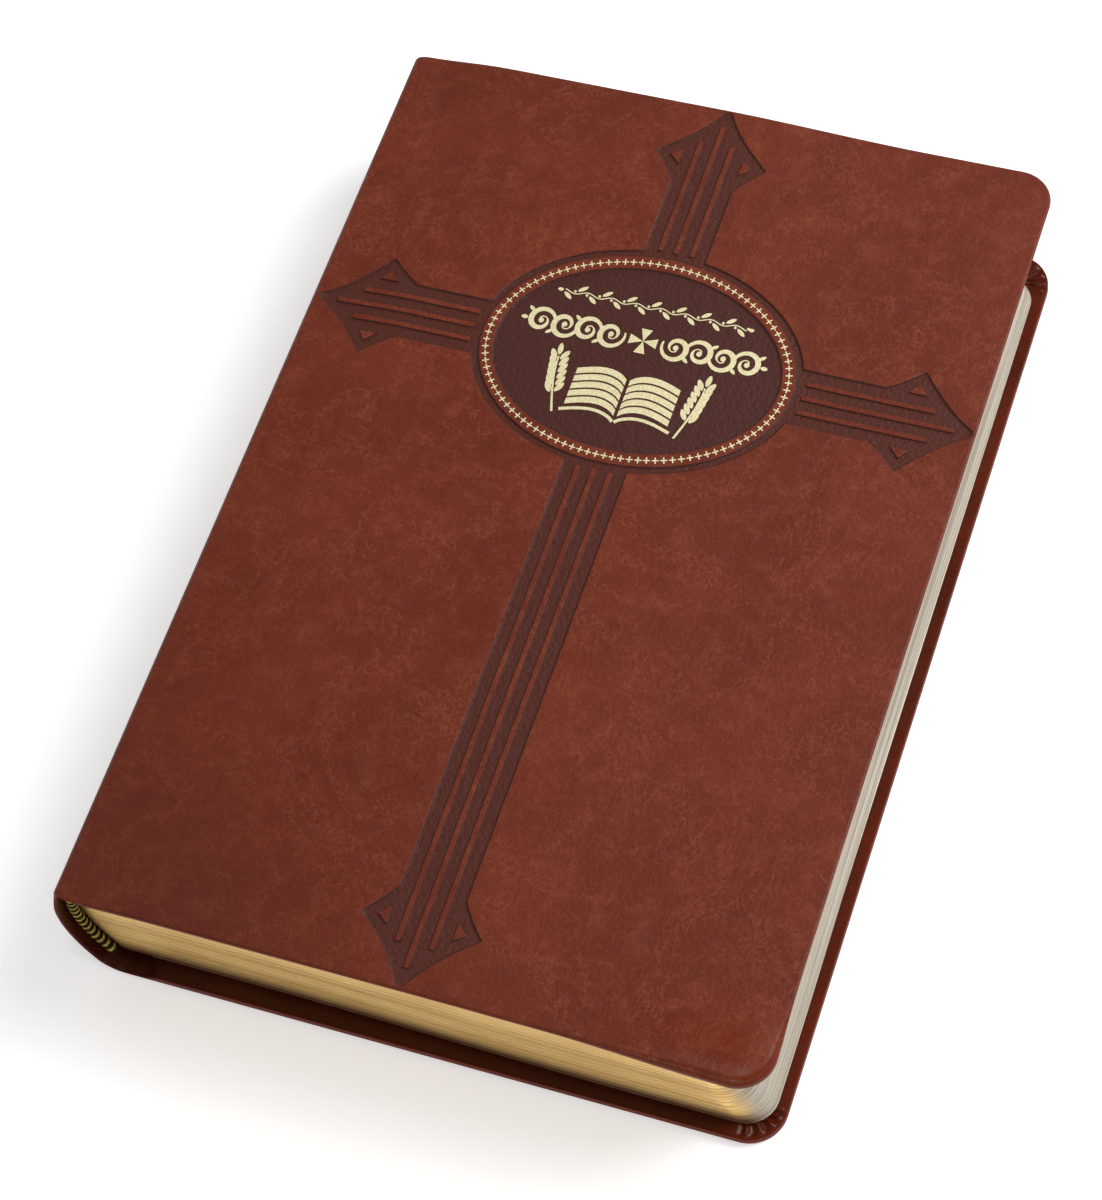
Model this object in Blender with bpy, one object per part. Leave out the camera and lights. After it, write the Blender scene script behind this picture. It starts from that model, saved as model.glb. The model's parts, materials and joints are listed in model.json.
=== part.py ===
"""A bible bound in flexible imitation leather, closed and lying on its back cover.

Metres, +Z up. X runs from the spine (-X) to the fore-edge (+X) and Y from the tail (-Y) to the head
(+Y). The origin is the middle of the box round the closed book, on the surface that it lies on.
The front half, above half the thickness, turns over to the left about the opening axis. The front
cover turns about its own hinge axis along the top of the spine, and the back cover about one along
the bottom of the spine.
"""

import math

import bmesh
import bpy

MM = 0.001

# Driving dimensions of the closed book
COVER_H = 218.0 * MM
BOOK_W = 151.5 * MM
THICK = 34.4 * MM
CORNER_R = 8.0 * MM

# One cover, from its outer face inwards
SKIN = 0.7 * MM
BOARD_T = 1.0 * MM
TURN_IN_T = 0.6 * MM
TURN_IN_W = 14.0 * MM
WINDOW_R = 3.0 * MM
LAYER_GAP = 0.1 * MM
COVER_T = SKIN + BOARD_T + TURN_IN_T + 2 * LAYER_GAP
EDGE_ROUND = 0.9 * MM
SIDE_GAP = 0.3 * MM
PASTEDOWN_T = 0.2 * MM
PASTEDOWN_MARGIN = 5.0 * MM
FLYLEAF_T = 0.2 * MM

# Places across the book
X_SPINE = -BOOK_W / 2
X_FORE = BOOK_W / 2
BULGE_Z = 21.5 * MM
BULGE = 12.6
X_HINGE = X_SPINE + 5.2 * MM
X_FRONT_PANEL = X_HINGE + SIDE_GAP
X_BACK_PANEL = X_SPINE + 14.5 * MM
BOARD_INSET = 6.0 * MM

# Text block
PAGE_H = 208.0 * MM
PAGE_MIDDLE = -0.8 * MM
X_PAGES = X_FORE - 3.0 * MM
X_FOLDS = X_SPINE + 3.2 * MM
FOLD_BULGE = 15.0
PAGE_CORNER_R = 6.5 * MM
SECTIONS = 16
BLOCK_FOOT = COVER_T + PASTEDOWN_T + FLYLEAF_T + 3 * LAYER_GAP
SECTION_PITCH = (THICK - 2 * BLOCK_FOOT) / SECTIONS
FOLD_ROUND = 0.5 * MM
FOLD_REACH = 8.0 * MM

# Spine layers, as distances out from the page folds or in from the outer face
SPINE_SKIN = 0.9 * MM
INLAY_T = 0.5 * MM
INLAY_SHORT = 6.0 * MM
INLAY_LOW = 5.0 * MM
INLAY_HIGH = THICK - 3.2 * MM
SHOULDER_Z = 4.0 * MM
SHOULDER_R = 6.7 * MM
TOP_CORNER_R = 1.5 * MM
CLOTH_OUT = 0.45 * MM
CLOTH_T = 0.3 * MM
CLOTH_H = 196.0 * MM
THREAD_R = 0.14 * MM
THREAD_OUT = 0.24 * MM
STITCH_ROWS = 6
STITCH_SPAN = 180.0 * MM
BAND_R = 1.1 * MM
BAND_IN = 0.6 * MM
BAND_TAPE_T = 0.35 * MM
BAND_TAPE_H = 6.1 * MM

# Pressed cross and oval on the front cover
PRESS_DEPTH = 0.3 * MM
CROSS_X = X_SPINE + 76.9 * MM
CROSS_Y = 41.2 * MM
TIP_TOP = COVER_H / 2 - 0.3 * MM
TIP_TAIL = -COVER_H / 2 + 0.5 * MM
TIP_SPINE = X_SPINE + 3.2 * MM
TIP_FORE = X_FORE - 0.6 * MM
SHAFT_HALF = 6.85 * MM
BARB_HALF = 12.5 * MM
TIP_TO_BARB = 14.2 * MM
BARB_TO_SHAFT = 7.2 * MM
FLANK_HOLLOW = 1.2 * MM
RIB_HALF = 0.6 * MM
RIB_PITCH = 3.6 * MM
RIB_TO_OVAL = 0.8 * MM
MIDDLE_RIB_TO_TIP = 4.4 * MM
OUTER_RIB_TO_TIP = 9.4 * MM
SPOT = ((-2.4 * MM, 7.0 * MM), (1.6 * MM, 7.0 * MM), (-0.2 * MM, 9.4 * MM))
OVAL_OUTER = (36.3 * MM, 27.7 * MM)
OVAL_BAND = (34.8 * MM, 26.3 * MM)
OVAL_FIELD = (31.7 * MM, 22.9 * MM)

# Each arm's length from the crossing, its direction in degrees and where the oval ends on it
ARMS = (
    (TIP_FORE - CROSS_X, 0, OVAL_OUTER[0]),
    (TIP_TOP - CROSS_Y, 90, OVAL_OUTER[1]),
    (CROSS_X - TIP_SPINE, 180, OVAL_OUTER[0]),
    (CROSS_Y - TIP_TAIL, 270, OVAL_OUTER[1]),
)

# How far a cutter reaches past the solid that it cuts
CLEAR = 5.0 * MM


def clear_scene():
    for old in list(bpy.data.objects):
        bpy.data.objects.remove(old, do_unlink=True)


def new_collection(name):
    made = bpy.data.collections.new(name)
    bpy.context.scene.collection.children.link(made)
    return made


def material(name, colour, roughness, metallic=0.0):
    made = bpy.data.materials.new(name)
    made.use_nodes = True
    shader = made.node_tree.nodes["Principled BSDF"]
    shader.inputs["Base Color"].default_value = (*colour, 1.0)
    shader.inputs["Roughness"].default_value = roughness
    shader.inputs["Metallic"].default_value = metallic
    return made


clear_scene()
BOOK = new_collection("bible")
CUTTERS = new_collection("cutters")


# ------------------------------------------------------------------ outlines and solids


def arc(cx, cy, radius, start, end, steps):
    """Points on an arc, from start to end in degrees."""
    angles = [math.radians(start + (end - start) * i / steps) for i in range(steps + 1)]
    return [(cx + radius * math.cos(a), cy + radius * math.sin(a)) for a in angles]


def leaf_outline(x0, x1, height, radius, middle=0.0, steps=6):
    """A rectangle with square corners at the spine and round ones at the fore-edge."""
    low, high = middle - height / 2, middle + height / 2
    tail = arc(x1 - radius, low + radius, radius, -90, 0, steps)
    head = arc(x1 - radius, high - radius, radius, 0, 90, steps)
    return [(x0, low), *tail, *head, (x0, high)]


def ellipse(half_axes, steps=48):
    turns = [2 * math.pi * i / steps for i in range(steps)]
    return [(CROSS_X + half_axes[0] * math.cos(t), CROSS_Y + half_axes[1] * math.sin(t)) for t in turns]


def curve_to_mesh(curve, name, group, finish=None):
    """A mesh object with the shape of a curve object, which is then removed."""
    bpy.context.view_layer.update()
    graph = bpy.context.evaluated_depsgraph_get()
    mesh = bpy.data.meshes.new_from_object(curve.evaluated_get(graph))
    mesh.name = name
    body = bmesh.new()
    body.from_mesh(mesh)
    bmesh.ops.remove_doubles(body, verts=body.verts, dist=0.001 * MM)
    bmesh.ops.recalc_face_normals(body, faces=body.faces)
    body.to_mesh(mesh)
    body.free()
    place = curve.matrix_world.copy()
    bpy.data.objects.remove(curve, do_unlink=True)
    made = bpy.data.objects.new(name, mesh)
    made.matrix_world = place
    mesh.materials.clear()
    if finish:
        mesh.materials.append(finish)
    group.objects.link(made)
    return made


def flat_curve(name, outlines, low, high):
    """A filled 2D curve between two heights. Outlines inside another are holes."""
    data = bpy.data.curves.new(name, "CURVE")
    data.dimensions = "2D"
    data.fill_mode = "BOTH"
    data.extrude = (high - low) / 2
    for outline in outlines:
        spline = data.splines.new("POLY")
        spline.points.add(len(outline) - 1)
        for point, (x, y) in zip(spline.points, outline):
            point.co = (x, y, 0.0, 1.0)
        spline.use_cyclic_u = True
    curve = bpy.data.objects.new(name, data)
    bpy.context.scene.collection.objects.link(curve)
    curve.location.z = (low + high) / 2
    return curve


def plate(name, outline, low, high, finish=None, group=BOOK, holes=()):
    """A flat piece in the plane of the covers, between two heights."""
    curve = flat_curve(name, [outline, *holes], low, high)
    return curve_to_mesh(curve, name, group, finish)


def extrusion(name, section, height, finish, middle=0.0, group=BOOK):
    """A piece with one section in the XZ plane, running along Y."""
    curve = flat_curve(name, [section], -height / 2, height / 2)
    curve.rotation_euler.x = math.pi / 2
    curve.location = (0.0, middle, 0.0)
    return curve_to_mesh(curve, name, group, finish)


def tube(name, path, radius, finish, resolution=1):
    data = bpy.data.curves.new(name, "CURVE")
    data.dimensions = "3D"
    data.bevel_depth = radius
    data.bevel_resolution = resolution
    data.use_fill_caps = True
    spline = data.splines.new("POLY")
    spline.points.add(len(path) - 1)
    for point, co in zip(spline.points, path):
        point.co = (*co, 1.0)
    curve = bpy.data.objects.new(name, data)
    bpy.context.scene.collection.objects.link(curve)
    return curve_to_mesh(curve, name, BOOK, finish)


def as_cutter(made):
    made.hide_render = True
    made.display_type = "WIRE"
    return made


def boolean(target, other, operation):
    step = target.modifiers.new(f"{operation.lower()}_{other.name}", "BOOLEAN")
    step.operation = operation
    step.solver = "EXACT"
    step.object = as_cutter(other)


def round_edges(target, width, segments, chosen):
    """Rounds the edges for which chosen(edge) is true."""
    body = bmesh.new()
    body.from_mesh(target.data)
    edges = [e for e in body.edges if chosen(e)]
    bmesh.ops.bevel(
        body, geom=edges, offset=width, segments=segments, profile=0.5, affect="EDGES", clamp_overlap=True
    )
    body.to_mesh(target.data)
    body.free()


# ------------------------------------------------------------------ shape of the spine


def spine_x(z):
    """Outer face of the spine at height z, a shallow bow that is deepest above the middle."""
    return X_SPINE + BULGE * (z - BULGE_Z) ** 2


def fold_x(z):
    """Page folds at height z."""
    return X_FOLDS + FOLD_BULGE * (z - BULGE_Z) ** 2


def page_x(z):
    """Fore-edge of the pages at height z. Every leaf is equally wide, so it is as hollow as the folds."""
    return X_PAGES + fold_x(z) - fold_x(BLOCK_FOOT)


def heights(low, high, steps):
    return [low + (high - low) * i / steps for i in range(steps + 1)]


def moved_out(path, distance):
    """The path moved sideways, to the right of its direction of travel."""
    made = []
    for i, (x, z) in enumerate(path):
        xa, za = path[max(i - 1, 0)]
        xb, zb = path[min(i + 1, len(path) - 1)]
        length = math.hypot(xb - xa, zb - za)
        made.append((x + distance * (zb - za) / length, z - distance * (xb - xa) / length))
    return made


def outer_path():
    """The skin's outer face, from the front hinge over the top corner and down under the book."""
    corner_z = THICK - TOP_CORNER_R
    corner_x = spine_x(corner_z) + TOP_CORNER_R
    top = [(corner_x + TOP_CORNER_R * math.cos(a), corner_z + TOP_CORNER_R * math.sin(a))
           for a in (math.radians(90 + 18 * i) for i in range(5))]
    down = [(spine_x(z), z) for z in heights(corner_z - MM, SHOULDER_Z, 14)]
    lean = math.atan(2 * BULGE * (BULGE_Z - SHOULDER_Z))
    centre_x = spine_x(SHOULDER_Z) + SHOULDER_R * math.cos(lean)
    turn = [lean + (math.pi / 2 - lean) * i / 6 for i in range(1, 7)]
    drop = SHOULDER_Z / (1 - math.sin(lean))
    under = [(centre_x - SHOULDER_R * math.cos(a), SHOULDER_Z - drop * (math.sin(a) - math.sin(lean)))
             for a in turn]
    return [(X_HINGE, THICK), *top, *down, *under, (X_BACK_PANEL - SIDE_GAP, 0.0)]


def band_between(path, inner, outer):
    """A closed outline between two offsets of one open path."""
    return [*moved_out(path, inner), *reversed(moved_out(path, outer))]


# ------------------------------------------------------------------ materials

LEATHER = material("leather_brown", (0.17, 0.035, 0.018), 0.45)
BOARD = material("board_grey", (0.35, 0.32, 0.28), 0.9)
ENDPAPER = material("endpaper_cream", (0.75, 0.70, 0.60), 0.8)
PAPER = material("page_paper", (0.72, 0.66, 0.54), 0.7)
CARD = material("inlay_card", (0.42, 0.36, 0.28), 0.9)
KRAFT = material("kraft_paper", (0.40, 0.27, 0.15), 0.85)
GAUZE = material("mull_gauze", (0.70, 0.68, 0.62), 0.95)
THREAD = material("linen_thread", (0.80, 0.77, 0.70), 0.8)
BAND = material("headband_cloth", (0.16, 0.11, 0.03), 0.75)


# ------------------------------------------------------------------ covers


def cross_outline():
    """The pressed cross: four arms that end in spearheads with hollow flanks."""
    outline = []
    for length, turn, _ in ARMS:
        arm = half_arm(length)
        arm += [(x, -y) for x, y in reversed(arm[:-1])]
        outline += [turned(x, -y, turn) for x, y in arm]
    return outline


def half_arm(length):
    """One side of an arm lying along +X, from the crossing to the tip."""
    barb = length - TIP_TO_BARB
    points = [(SHAFT_HALF, SHAFT_HALF), (barb - BARB_TO_SHAFT, SHAFT_HALF)]
    for i in range(7):
        t = i / 6
        along = barb + TIP_TO_BARB * t
        points.append((along, BARB_HALF * (1 - t) - FLANK_HOLLOW * math.sin(math.pi * t)))
    return points


def turned(x, y, degrees):
    a = math.radians(degrees)
    return (CROSS_X + x * math.cos(a) - y * math.sin(a), CROSS_Y + x * math.sin(a) + y * math.cos(a))


def cross_ribs():
    """Three raised lines and two small raised triangles in each arm."""
    ribs = []
    for length, turn, oval in ARMS:
        for row in (-1, 0, 1):
            y = row * RIB_PITCH
            x0 = oval + RIB_TO_OVAL
            x1 = length - (OUTER_RIB_TO_TIP if row else MIDDLE_RIB_TO_TIP)
            box = [(x0, y - RIB_HALF), (x1, y - RIB_HALF), (x1, y + RIB_HALF), (x0, y + RIB_HALF)]
            ribs.append([turned(x, v, turn) for x, v in box])
        barb = length - TIP_TO_BARB
        for side in (-1, 1):
            ribs.append([turned(barb + x, side * v, turn) for x, v in SPOT])
    return ribs


def span(front, low, high):
    """Heights of a layer, given from the outer face of its own cover."""
    return (THICK - high, THICK - low) if front else (low, high)


def press_cross(leather):
    """Presses the cross, the ring round the oval and the oval field into the outer face."""
    low, high = THICK - PRESS_DEPTH, THICK + CLEAR
    arms = plate("cross_cutter", cross_outline(), low, high, group=CUTTERS, holes=cross_ribs())
    oval = plate("oval_cutter", ellipse(OVAL_OUTER), low, high + CLEAR, group=CUTTERS)
    band = plate("band_keeper", ellipse(OVAL_BAND), low - CLEAR, high + 2 * CLEAR, group=CUTTERS)
    field = plate("field_cutter", ellipse(OVAL_FIELD), low, high, group=CUTTERS)
    boolean(arms, oval, "UNION")
    boolean(arms, band, "DIFFERENCE")
    boolean(leather, arms, "DIFFERENCE")
    boolean(leather, field, "DIFFERENCE")


def cover(side):
    front = side == "front"
    x0 = X_FRONT_PANEL if front else X_BACK_PANEL
    beyond = x0 - CLEAR
    leather = plate(
        f"{side}_cover_leather", leaf_outline(x0, X_FORE, COVER_H, CORNER_R), *span(front, 0.0, COVER_T), LEATHER
    )
    round_edges(leather, EDGE_ROUND, 3, lambda e: is_rim(e, x0))
    cavity = leaf_outline(beyond, X_FORE - SKIN, COVER_H - 2 * SKIN, CORNER_R - SKIN)
    window = leaf_outline(beyond, X_FORE - TURN_IN_W, COVER_H - 2 * TURN_IN_W, WINDOW_R)
    hollow = plate(
        f"{side}_hollow_cutter", cavity, *span(front, SKIN, COVER_T - TURN_IN_T), group=CUTTERS
    )
    opening = plate(
        f"{side}_window_cutter", window, *span(front, SKIN + BOARD_T / 2, COVER_T + CLEAR), group=CUTTERS
    )
    boolean(hollow, opening, "UNION")
    boolean(leather, hollow, "DIFFERENCE")
    if front:
        press_cross(leather)

    inset = SKIN + SIDE_GAP
    board = leaf_outline(x0 + BOARD_INSET, X_FORE - inset, COVER_H - 2 * inset, CORNER_R - inset)
    board_low = SKIN + LAYER_GAP
    plate(f"{side}_cover_board", board, *span(front, board_low, board_low + BOARD_T), BOARD)

    paper = leaf_outline(
        x0 + SIDE_GAP, X_FORE - PASTEDOWN_MARGIN, COVER_H - 2 * PASTEDOWN_MARGIN, CORNER_R - SKIN
    )
    paper_low = COVER_T + LAYER_GAP
    plate(f"{side}_pastedown", paper, *span(front, paper_low, paper_low + PASTEDOWN_T), ENDPAPER)

    leaf_low = paper_low + PASTEDOWN_T + LAYER_GAP
    low, high = span(front, leaf_low, leaf_low + FLYLEAF_T)
    edge_x = page_x(THICK - BLOCK_FOOT if front else BLOCK_FOOT)
    leaf = leaf_outline(x0 + SIDE_GAP, edge_x, PAGE_H, PAGE_CORNER_R, PAGE_MIDDLE)
    plate(f"{side}_flyleaf", leaf, low, high, ENDPAPER)


def is_rim(edge, x0):
    """Whether an edge runs round the cover's rim, not across its spine side."""
    a, b = (v.co for v in edge.verts)
    level = abs(a.z - b.z) < 0.01 * MM
    at_spine = a.x < x0 + 0.01 * MM and b.x < x0 + 0.01 * MM
    return level and not at_spine and edge.is_manifold and edge.calc_face_angle() > math.radians(60)


# ------------------------------------------------------------------ text block


def section_piece(number):
    """One folded section of pages, whose fold and fore-edge follow the round of the spine."""
    low = BLOCK_FOOT + (number - 1) * SECTION_PITCH
    high = low + SECTION_PITCH - LAYER_GAP
    width = X_PAGES - fold_x(BLOCK_FOOT)
    outline = leaf_outline(0.0, width, PAGE_H, PAGE_CORNER_R, PAGE_MIDDLE)
    made = plate(f"signature_{number:02d}", outline, low, high, PAPER)
    middle = (low + high) / 2
    for vertex in made.data.vertices:
        vertex.co.x += fold_x(middle + vertex.co.z)
    round_edges(made, FOLD_ROUND, 2, is_fold)


def is_fold(edge):
    """Whether an edge runs along a section's fold."""
    a, b = (v.co for v in edge.verts)
    near = max(a.x, b.x) < X_FOLDS + FOLD_REACH
    return near and abs(a.y - b.y) > PAGE_H / 2 and edge.calc_face_angle() > math.radians(30)


# ------------------------------------------------------------------ spine


def spine_pieces():
    path = outer_path()
    extrusion("spine_leather", band_between(path, 0.0, -SPINE_SKIN), COVER_H, LEATHER)

    back = [(spine_x(z), z) for z in heights(INLAY_HIGH, INLAY_LOW, 12)]
    inlay_out = SPINE_SKIN + LAYER_GAP
    inlay = band_between(back, -inlay_out, -inlay_out - INLAY_T)
    extrusion("spine_inlay", inlay, COVER_H - 2 * INLAY_SHORT, CARD)

    folds = [(fold_x(z), z) for z in heights(THICK - BLOCK_FOOT, BLOCK_FOOT, 14)]
    cloth = band_between(folds, CLOTH_OUT, CLOTH_OUT + CLOTH_T)
    extrusion("mull_cloth", cloth, CLOTH_H, GAUZE)
    liner_out = CLOTH_OUT + CLOTH_T + LAYER_GAP
    liner = band_between(folds, liner_out, liner_out + CLOTH_T)
    extrusion("spine_liner", liner, CLOTH_H, KRAFT)

    for row in range(STITCH_ROWS):
        y = STITCH_SPAN * (row / (STITCH_ROWS - 1) - 0.5)
        stitch = [(x - THREAD_OUT, y, z) for x, z in folds]
        tube(f"sewing_thread_{row + 1}", stitch, THREAD_R, THREAD)


def headband(end):
    """A corded bead at the end of the page folds, on a tape glued to the folds."""
    sign = 1 if end == "head" else -1
    bead_out = PAGE_H / 2 + SIDE_GAP + BAND_R
    steps = heights(BLOCK_FOOT + BAND_R, THICK - BLOCK_FOOT - BAND_R, 14)
    path = [(fold_x(z) + BAND_IN, PAGE_MIDDLE + sign * bead_out, z) for z in steps]
    bead = tube(f"headband_{end}", path, BAND_R, BAND, resolution=2)
    folds = [(fold_x(z), z) for z in reversed(steps)]
    section = band_between(folds, LAYER_GAP, LAYER_GAP + BAND_TAPE_T)
    tape_y = PAGE_MIDDLE + sign * (bead_out - BAND_TAPE_H / 2)
    tape = extrusion(f"headband_{end}_tape", section, BAND_TAPE_H, None, tape_y, CUTTERS)
    boolean(bead, tape, "UNION")


for cover_side in ("back", "front"):
    cover(cover_side)
for section_number in range(1, SECTIONS + 1):
    section_piece(section_number)
spine_pieces()
for band_end in ("tail", "head"):
    headband(band_end)
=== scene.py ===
"""The looks of the bible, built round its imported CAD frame. Metres, +Z up, in the row frame.

The cover leather is four skins that meet at hidden seams: front cover, upper spine, lower spine and
back cover. The lower spine bends to the back cover, the upper spine between the two halves of the
pages, and the front cover's strip along the spine is its hinge. The page sections are stacks of leaf
groups. Card, gauze, liner and threads inside the spine are cut at half the thickness, where the open
book folds.
"""

import json
import math
import random

import bmesh
import bpy
import numpy as np
from mathutils import Matrix, Vector, kdtree
from mathutils.geometry import delaunay_2d_cdt


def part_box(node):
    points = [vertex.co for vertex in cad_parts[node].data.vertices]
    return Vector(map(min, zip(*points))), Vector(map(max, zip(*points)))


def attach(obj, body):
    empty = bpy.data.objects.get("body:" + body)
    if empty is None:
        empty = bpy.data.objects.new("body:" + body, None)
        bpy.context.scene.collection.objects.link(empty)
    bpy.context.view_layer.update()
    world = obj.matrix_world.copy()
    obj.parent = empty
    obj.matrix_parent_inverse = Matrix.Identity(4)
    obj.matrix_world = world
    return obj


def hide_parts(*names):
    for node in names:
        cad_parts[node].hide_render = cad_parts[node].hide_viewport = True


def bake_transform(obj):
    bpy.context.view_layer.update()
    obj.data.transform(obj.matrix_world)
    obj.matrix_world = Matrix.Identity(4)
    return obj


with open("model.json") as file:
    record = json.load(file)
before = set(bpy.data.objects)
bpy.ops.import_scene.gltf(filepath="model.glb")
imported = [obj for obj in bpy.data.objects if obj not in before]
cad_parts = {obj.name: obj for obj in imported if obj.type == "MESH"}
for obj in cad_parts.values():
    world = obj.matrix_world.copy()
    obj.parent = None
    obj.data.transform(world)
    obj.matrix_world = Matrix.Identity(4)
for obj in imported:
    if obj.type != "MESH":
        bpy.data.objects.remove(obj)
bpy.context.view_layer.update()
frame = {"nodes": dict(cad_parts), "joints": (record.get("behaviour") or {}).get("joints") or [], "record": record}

MM = 0.001
JOINTS = {joint["name"]: joint for joint in frame["joints"]}

# ------------------------------------------------------------------ places, from the frame

SPINE_LOW, SPINE_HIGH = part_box("spine_leather")
FRONT_LOW, FRONT_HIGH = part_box("front_cover_leather")
BACK_LOW, BACK_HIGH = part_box("back_cover_leather")
PAGES_LOW, PAGES_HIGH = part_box("signature_01")

X_SPINE, X_FORE = SPINE_LOW[0], FRONT_HIGH[0]
HALF_H = SPINE_HIGH[1]
THICK = SPINE_HIGH[2]
MIDDLE = THICK / 2
COVER_T = BACK_HIGH[2]
CORNER_R = 8.0 * MM

BULGE_Z = 21.5 * MM
BULGE = 12.6
FOLD_BULGE = 15.0
X_FOLDS = X_SPINE + 3.2 * MM
SHOULDER_Z = 4.0 * MM
SHOULDER_R = 6.7 * MM
TOP_CORNER_R = 1.5 * MM

X_FRONT_PANEL = FRONT_LOW[0]
X_FRONT_SEAM = X_SPINE + BULGE * (THICK - TOP_CORNER_R - BULGE_Z) ** 2 + TOP_CORNER_R
X_BACK_SEAM = BACK_LOW[0] - 0.15 * MM
SPINE_SEAM_Z = 8.0 * MM

X_PAGES = PAGES_HIGH[0]
HALF_PAGE = (PAGES_HIGH[1] - PAGES_LOW[1]) / 2
PAGE_MIDDLE = (PAGES_HIGH[1] + PAGES_LOW[1]) / 2
BLOCK_FOOT = PAGES_LOW[2]
PAGE_CORNER_R = 6.5 * MM
SECTIONS = 16
SECTION_SWELL = 0.042 * MM
LEAF_GROUPS = 7
GROUP_LIP = 0.035 * MM
GROUP_INSET = 0.03 * MM
FOLD_HOLLOW = 0.25 * MM

# Print on a page: two columns of grey bars
LINE_PITCH = 3.3 * MM
GUTTER_HALF = 2.2 * MM
PRINT_HALF = 56.0 * MM
PRINT_MARGIN = 13.0 * MM

# Leather thicknesses: at the joints, at the turned-in ends of the joints, and inside a cover
JOINT_T = 0.9 * MM
TURNED_T = 1.0 * MM
TURN_IN_START = HALF_H - 5.6 * MM
WINDOW_DEPTH = 1.9 * MM
TURN_IN_W = 14.0 * MM

# The covers' rolled edge: its radii, how much rounder it gets where the cover droops, and its lean
RIM_OUTER_R = 0.4 * MM
RIM_INNER_R = 0.35 * MM
RIM_ROUNDER = 0.95 * MM
RIM_LEAN = 0.2

# Headband: its bead, and how far that lies out over the folds and in from the page ends
BEAD_R = 1.1 * MM
BEAD_OUT = 0.7 * MM
BEAD_IN = 0.3 * MM
BAND_THREAD_R = 0.18 * MM

# Pressed cross and oval
CROSS = Vector((X_SPINE + 76.9 * MM, 41.2 * MM))
SHAFT_HALF = 6.85 * MM
BARB_HALF = 12.5 * MM
TIP_TO_BARB = 14.2 * MM
BARB_TO_SHAFT = 7.2 * MM
FLANK_HOLLOW = 1.25 * MM
RIB_HALF = 0.6 * MM
RIB_PITCH = 3.6 * MM
OVAL_OUTER = (36.3 * MM, 27.7 * MM)
OVAL_BAND = (34.8 * MM, 26.3 * MM)
OVAL_FOIL = (33.3 * MM, 24.6 * MM)
OVAL_FIELD = (31.7 * MM, 22.9 * MM)
PRESS_DEPTH = 0.38 * MM

# How far the flexible book is off its plain shape
BOW = 1.05 * MM
BOW_HEADWARD = 0.45 * MM
DROOP = 1.4 * MM
CURL = 1.0 * MM
CURL_W = 5.0 * MM
SPREAD_OUT = 0.8 * MM
SPREAD_TAILWARD = 1.1 * MM
SOFT_CORNER = 0.9 * MM
BACK_SKEW = 0.6 * MM
PLEAT_H = 0.95 * MM


def spine_x(z):
    """Outer face of the spine at height z."""
    return X_SPINE + BULGE * (z - BULGE_Z) ** 2


def fold_x(z):
    """Page folds at height z."""
    return X_FOLDS + FOLD_BULGE * (z - BULGE_Z) ** 2


def smooth(t):
    t = np.clip(t, 0.0, 1.0)
    return t * t * (3 - 2 * t)


def lift(x, y, z):
    """How far the flexible front of the book is off flat: bowed up a little along the middle and the
    spine, drooping at the tail corner of the fore-edge. Nothing low down."""
    high = smooth((z - 0.2 * THICK) / (0.72 * THICK))
    bow = smooth((x - X_FRONT_SEAM) / (22 * MM)) * (1 - smooth(x / (46 * MM)))
    along = smooth((x - X_FORE + 40 * MM) / (40 * MM))
    down = smooth((-y - HALF_H + 48 * MM) / (48 * MM))
    return ((BOW + BOW_HEADWARD * y / HALF_H) * bow - DROOP * along * down) * high


def spread(x, y):
    """Sideways shift of the leaves, which fan out a little towards the tail at the fore-edge."""
    out = smooth((x - 20 * MM) / (X_PAGES - 20 * MM)) * smooth((-y - 10 * MM) / (85 * MM))
    return SPREAD_OUT * out, -SPREAD_TAILWARD * smooth((x + 40 * MM) / (90 * MM))


def soften(arr):
    """Rounds the corner where the front cover's head and tail meet the spine."""
    across = np.clip((X_FRONT_SEAM + 2.0 * MM - arr[:, 0]) / (3.4 * MM), 0.0, 1.0)
    high = smooth((arr[:, 2] - THICK + 9 * MM) / (8 * MM))
    near_end = smooth((np.abs(arr[:, 1]) - HALF_H + 12 * MM) / (9 * MM))
    arr[:, 1] -= np.sign(arr[:, 1]) * SOFT_CORNER * across ** 2 * high * near_end


# ------------------------------------------------------------------ mesh helpers


def linked(name, data):
    """A new object in the scene, round a mesh, light or camera."""
    made = bpy.data.objects.new(name, data)
    bpy.context.scene.collection.objects.link(made)
    return made


def new_object(name, coords, faces, *finishes):
    mesh = bpy.data.meshes.new(name)
    mesh.from_pydata([tuple(c) for c in coords], [], [tuple(f) for f in faces])
    mesh.update()
    for finish in finishes:
        mesh.materials.append(finish)
    return linked(name, mesh)


def object_from(body, name, *finishes):
    """A new object from a bmesh, which is then freed."""
    mesh = bpy.data.meshes.new(name)
    body.to_mesh(mesh)
    body.free()
    for finish in finishes:
        mesh.materials.append(finish)
    return linked(name, mesh)


def ring_quads(rows, count, first=0):
    """Faces between rows of points, each row a closed ring."""
    faces = []
    for i in range(first, first + (rows - 1) * count, count):
        for j in range(count):
            k = (j + 1) % count
            faces.append((i + j, i + k, i + count + k, i + count + j))
    return faces


def set_value(made, name, values):
    layer = made.data.attributes.new(name, "FLOAT", "POINT")
    layer.data.foreach_set("value", np.asarray(values, np.float32))


def keep_rest(made):
    """Stores where each point lies at rest, so that the material stays put when the piece bends."""
    layer = made.data.attributes.new("rest_place", "FLOAT_VECTOR", "POINT")
    coords = np.empty(len(made.data.vertices) * 3, np.float32)
    made.data.vertices.foreach_get("co", coords)
    layer.data.foreach_set("vector", coords)


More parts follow.
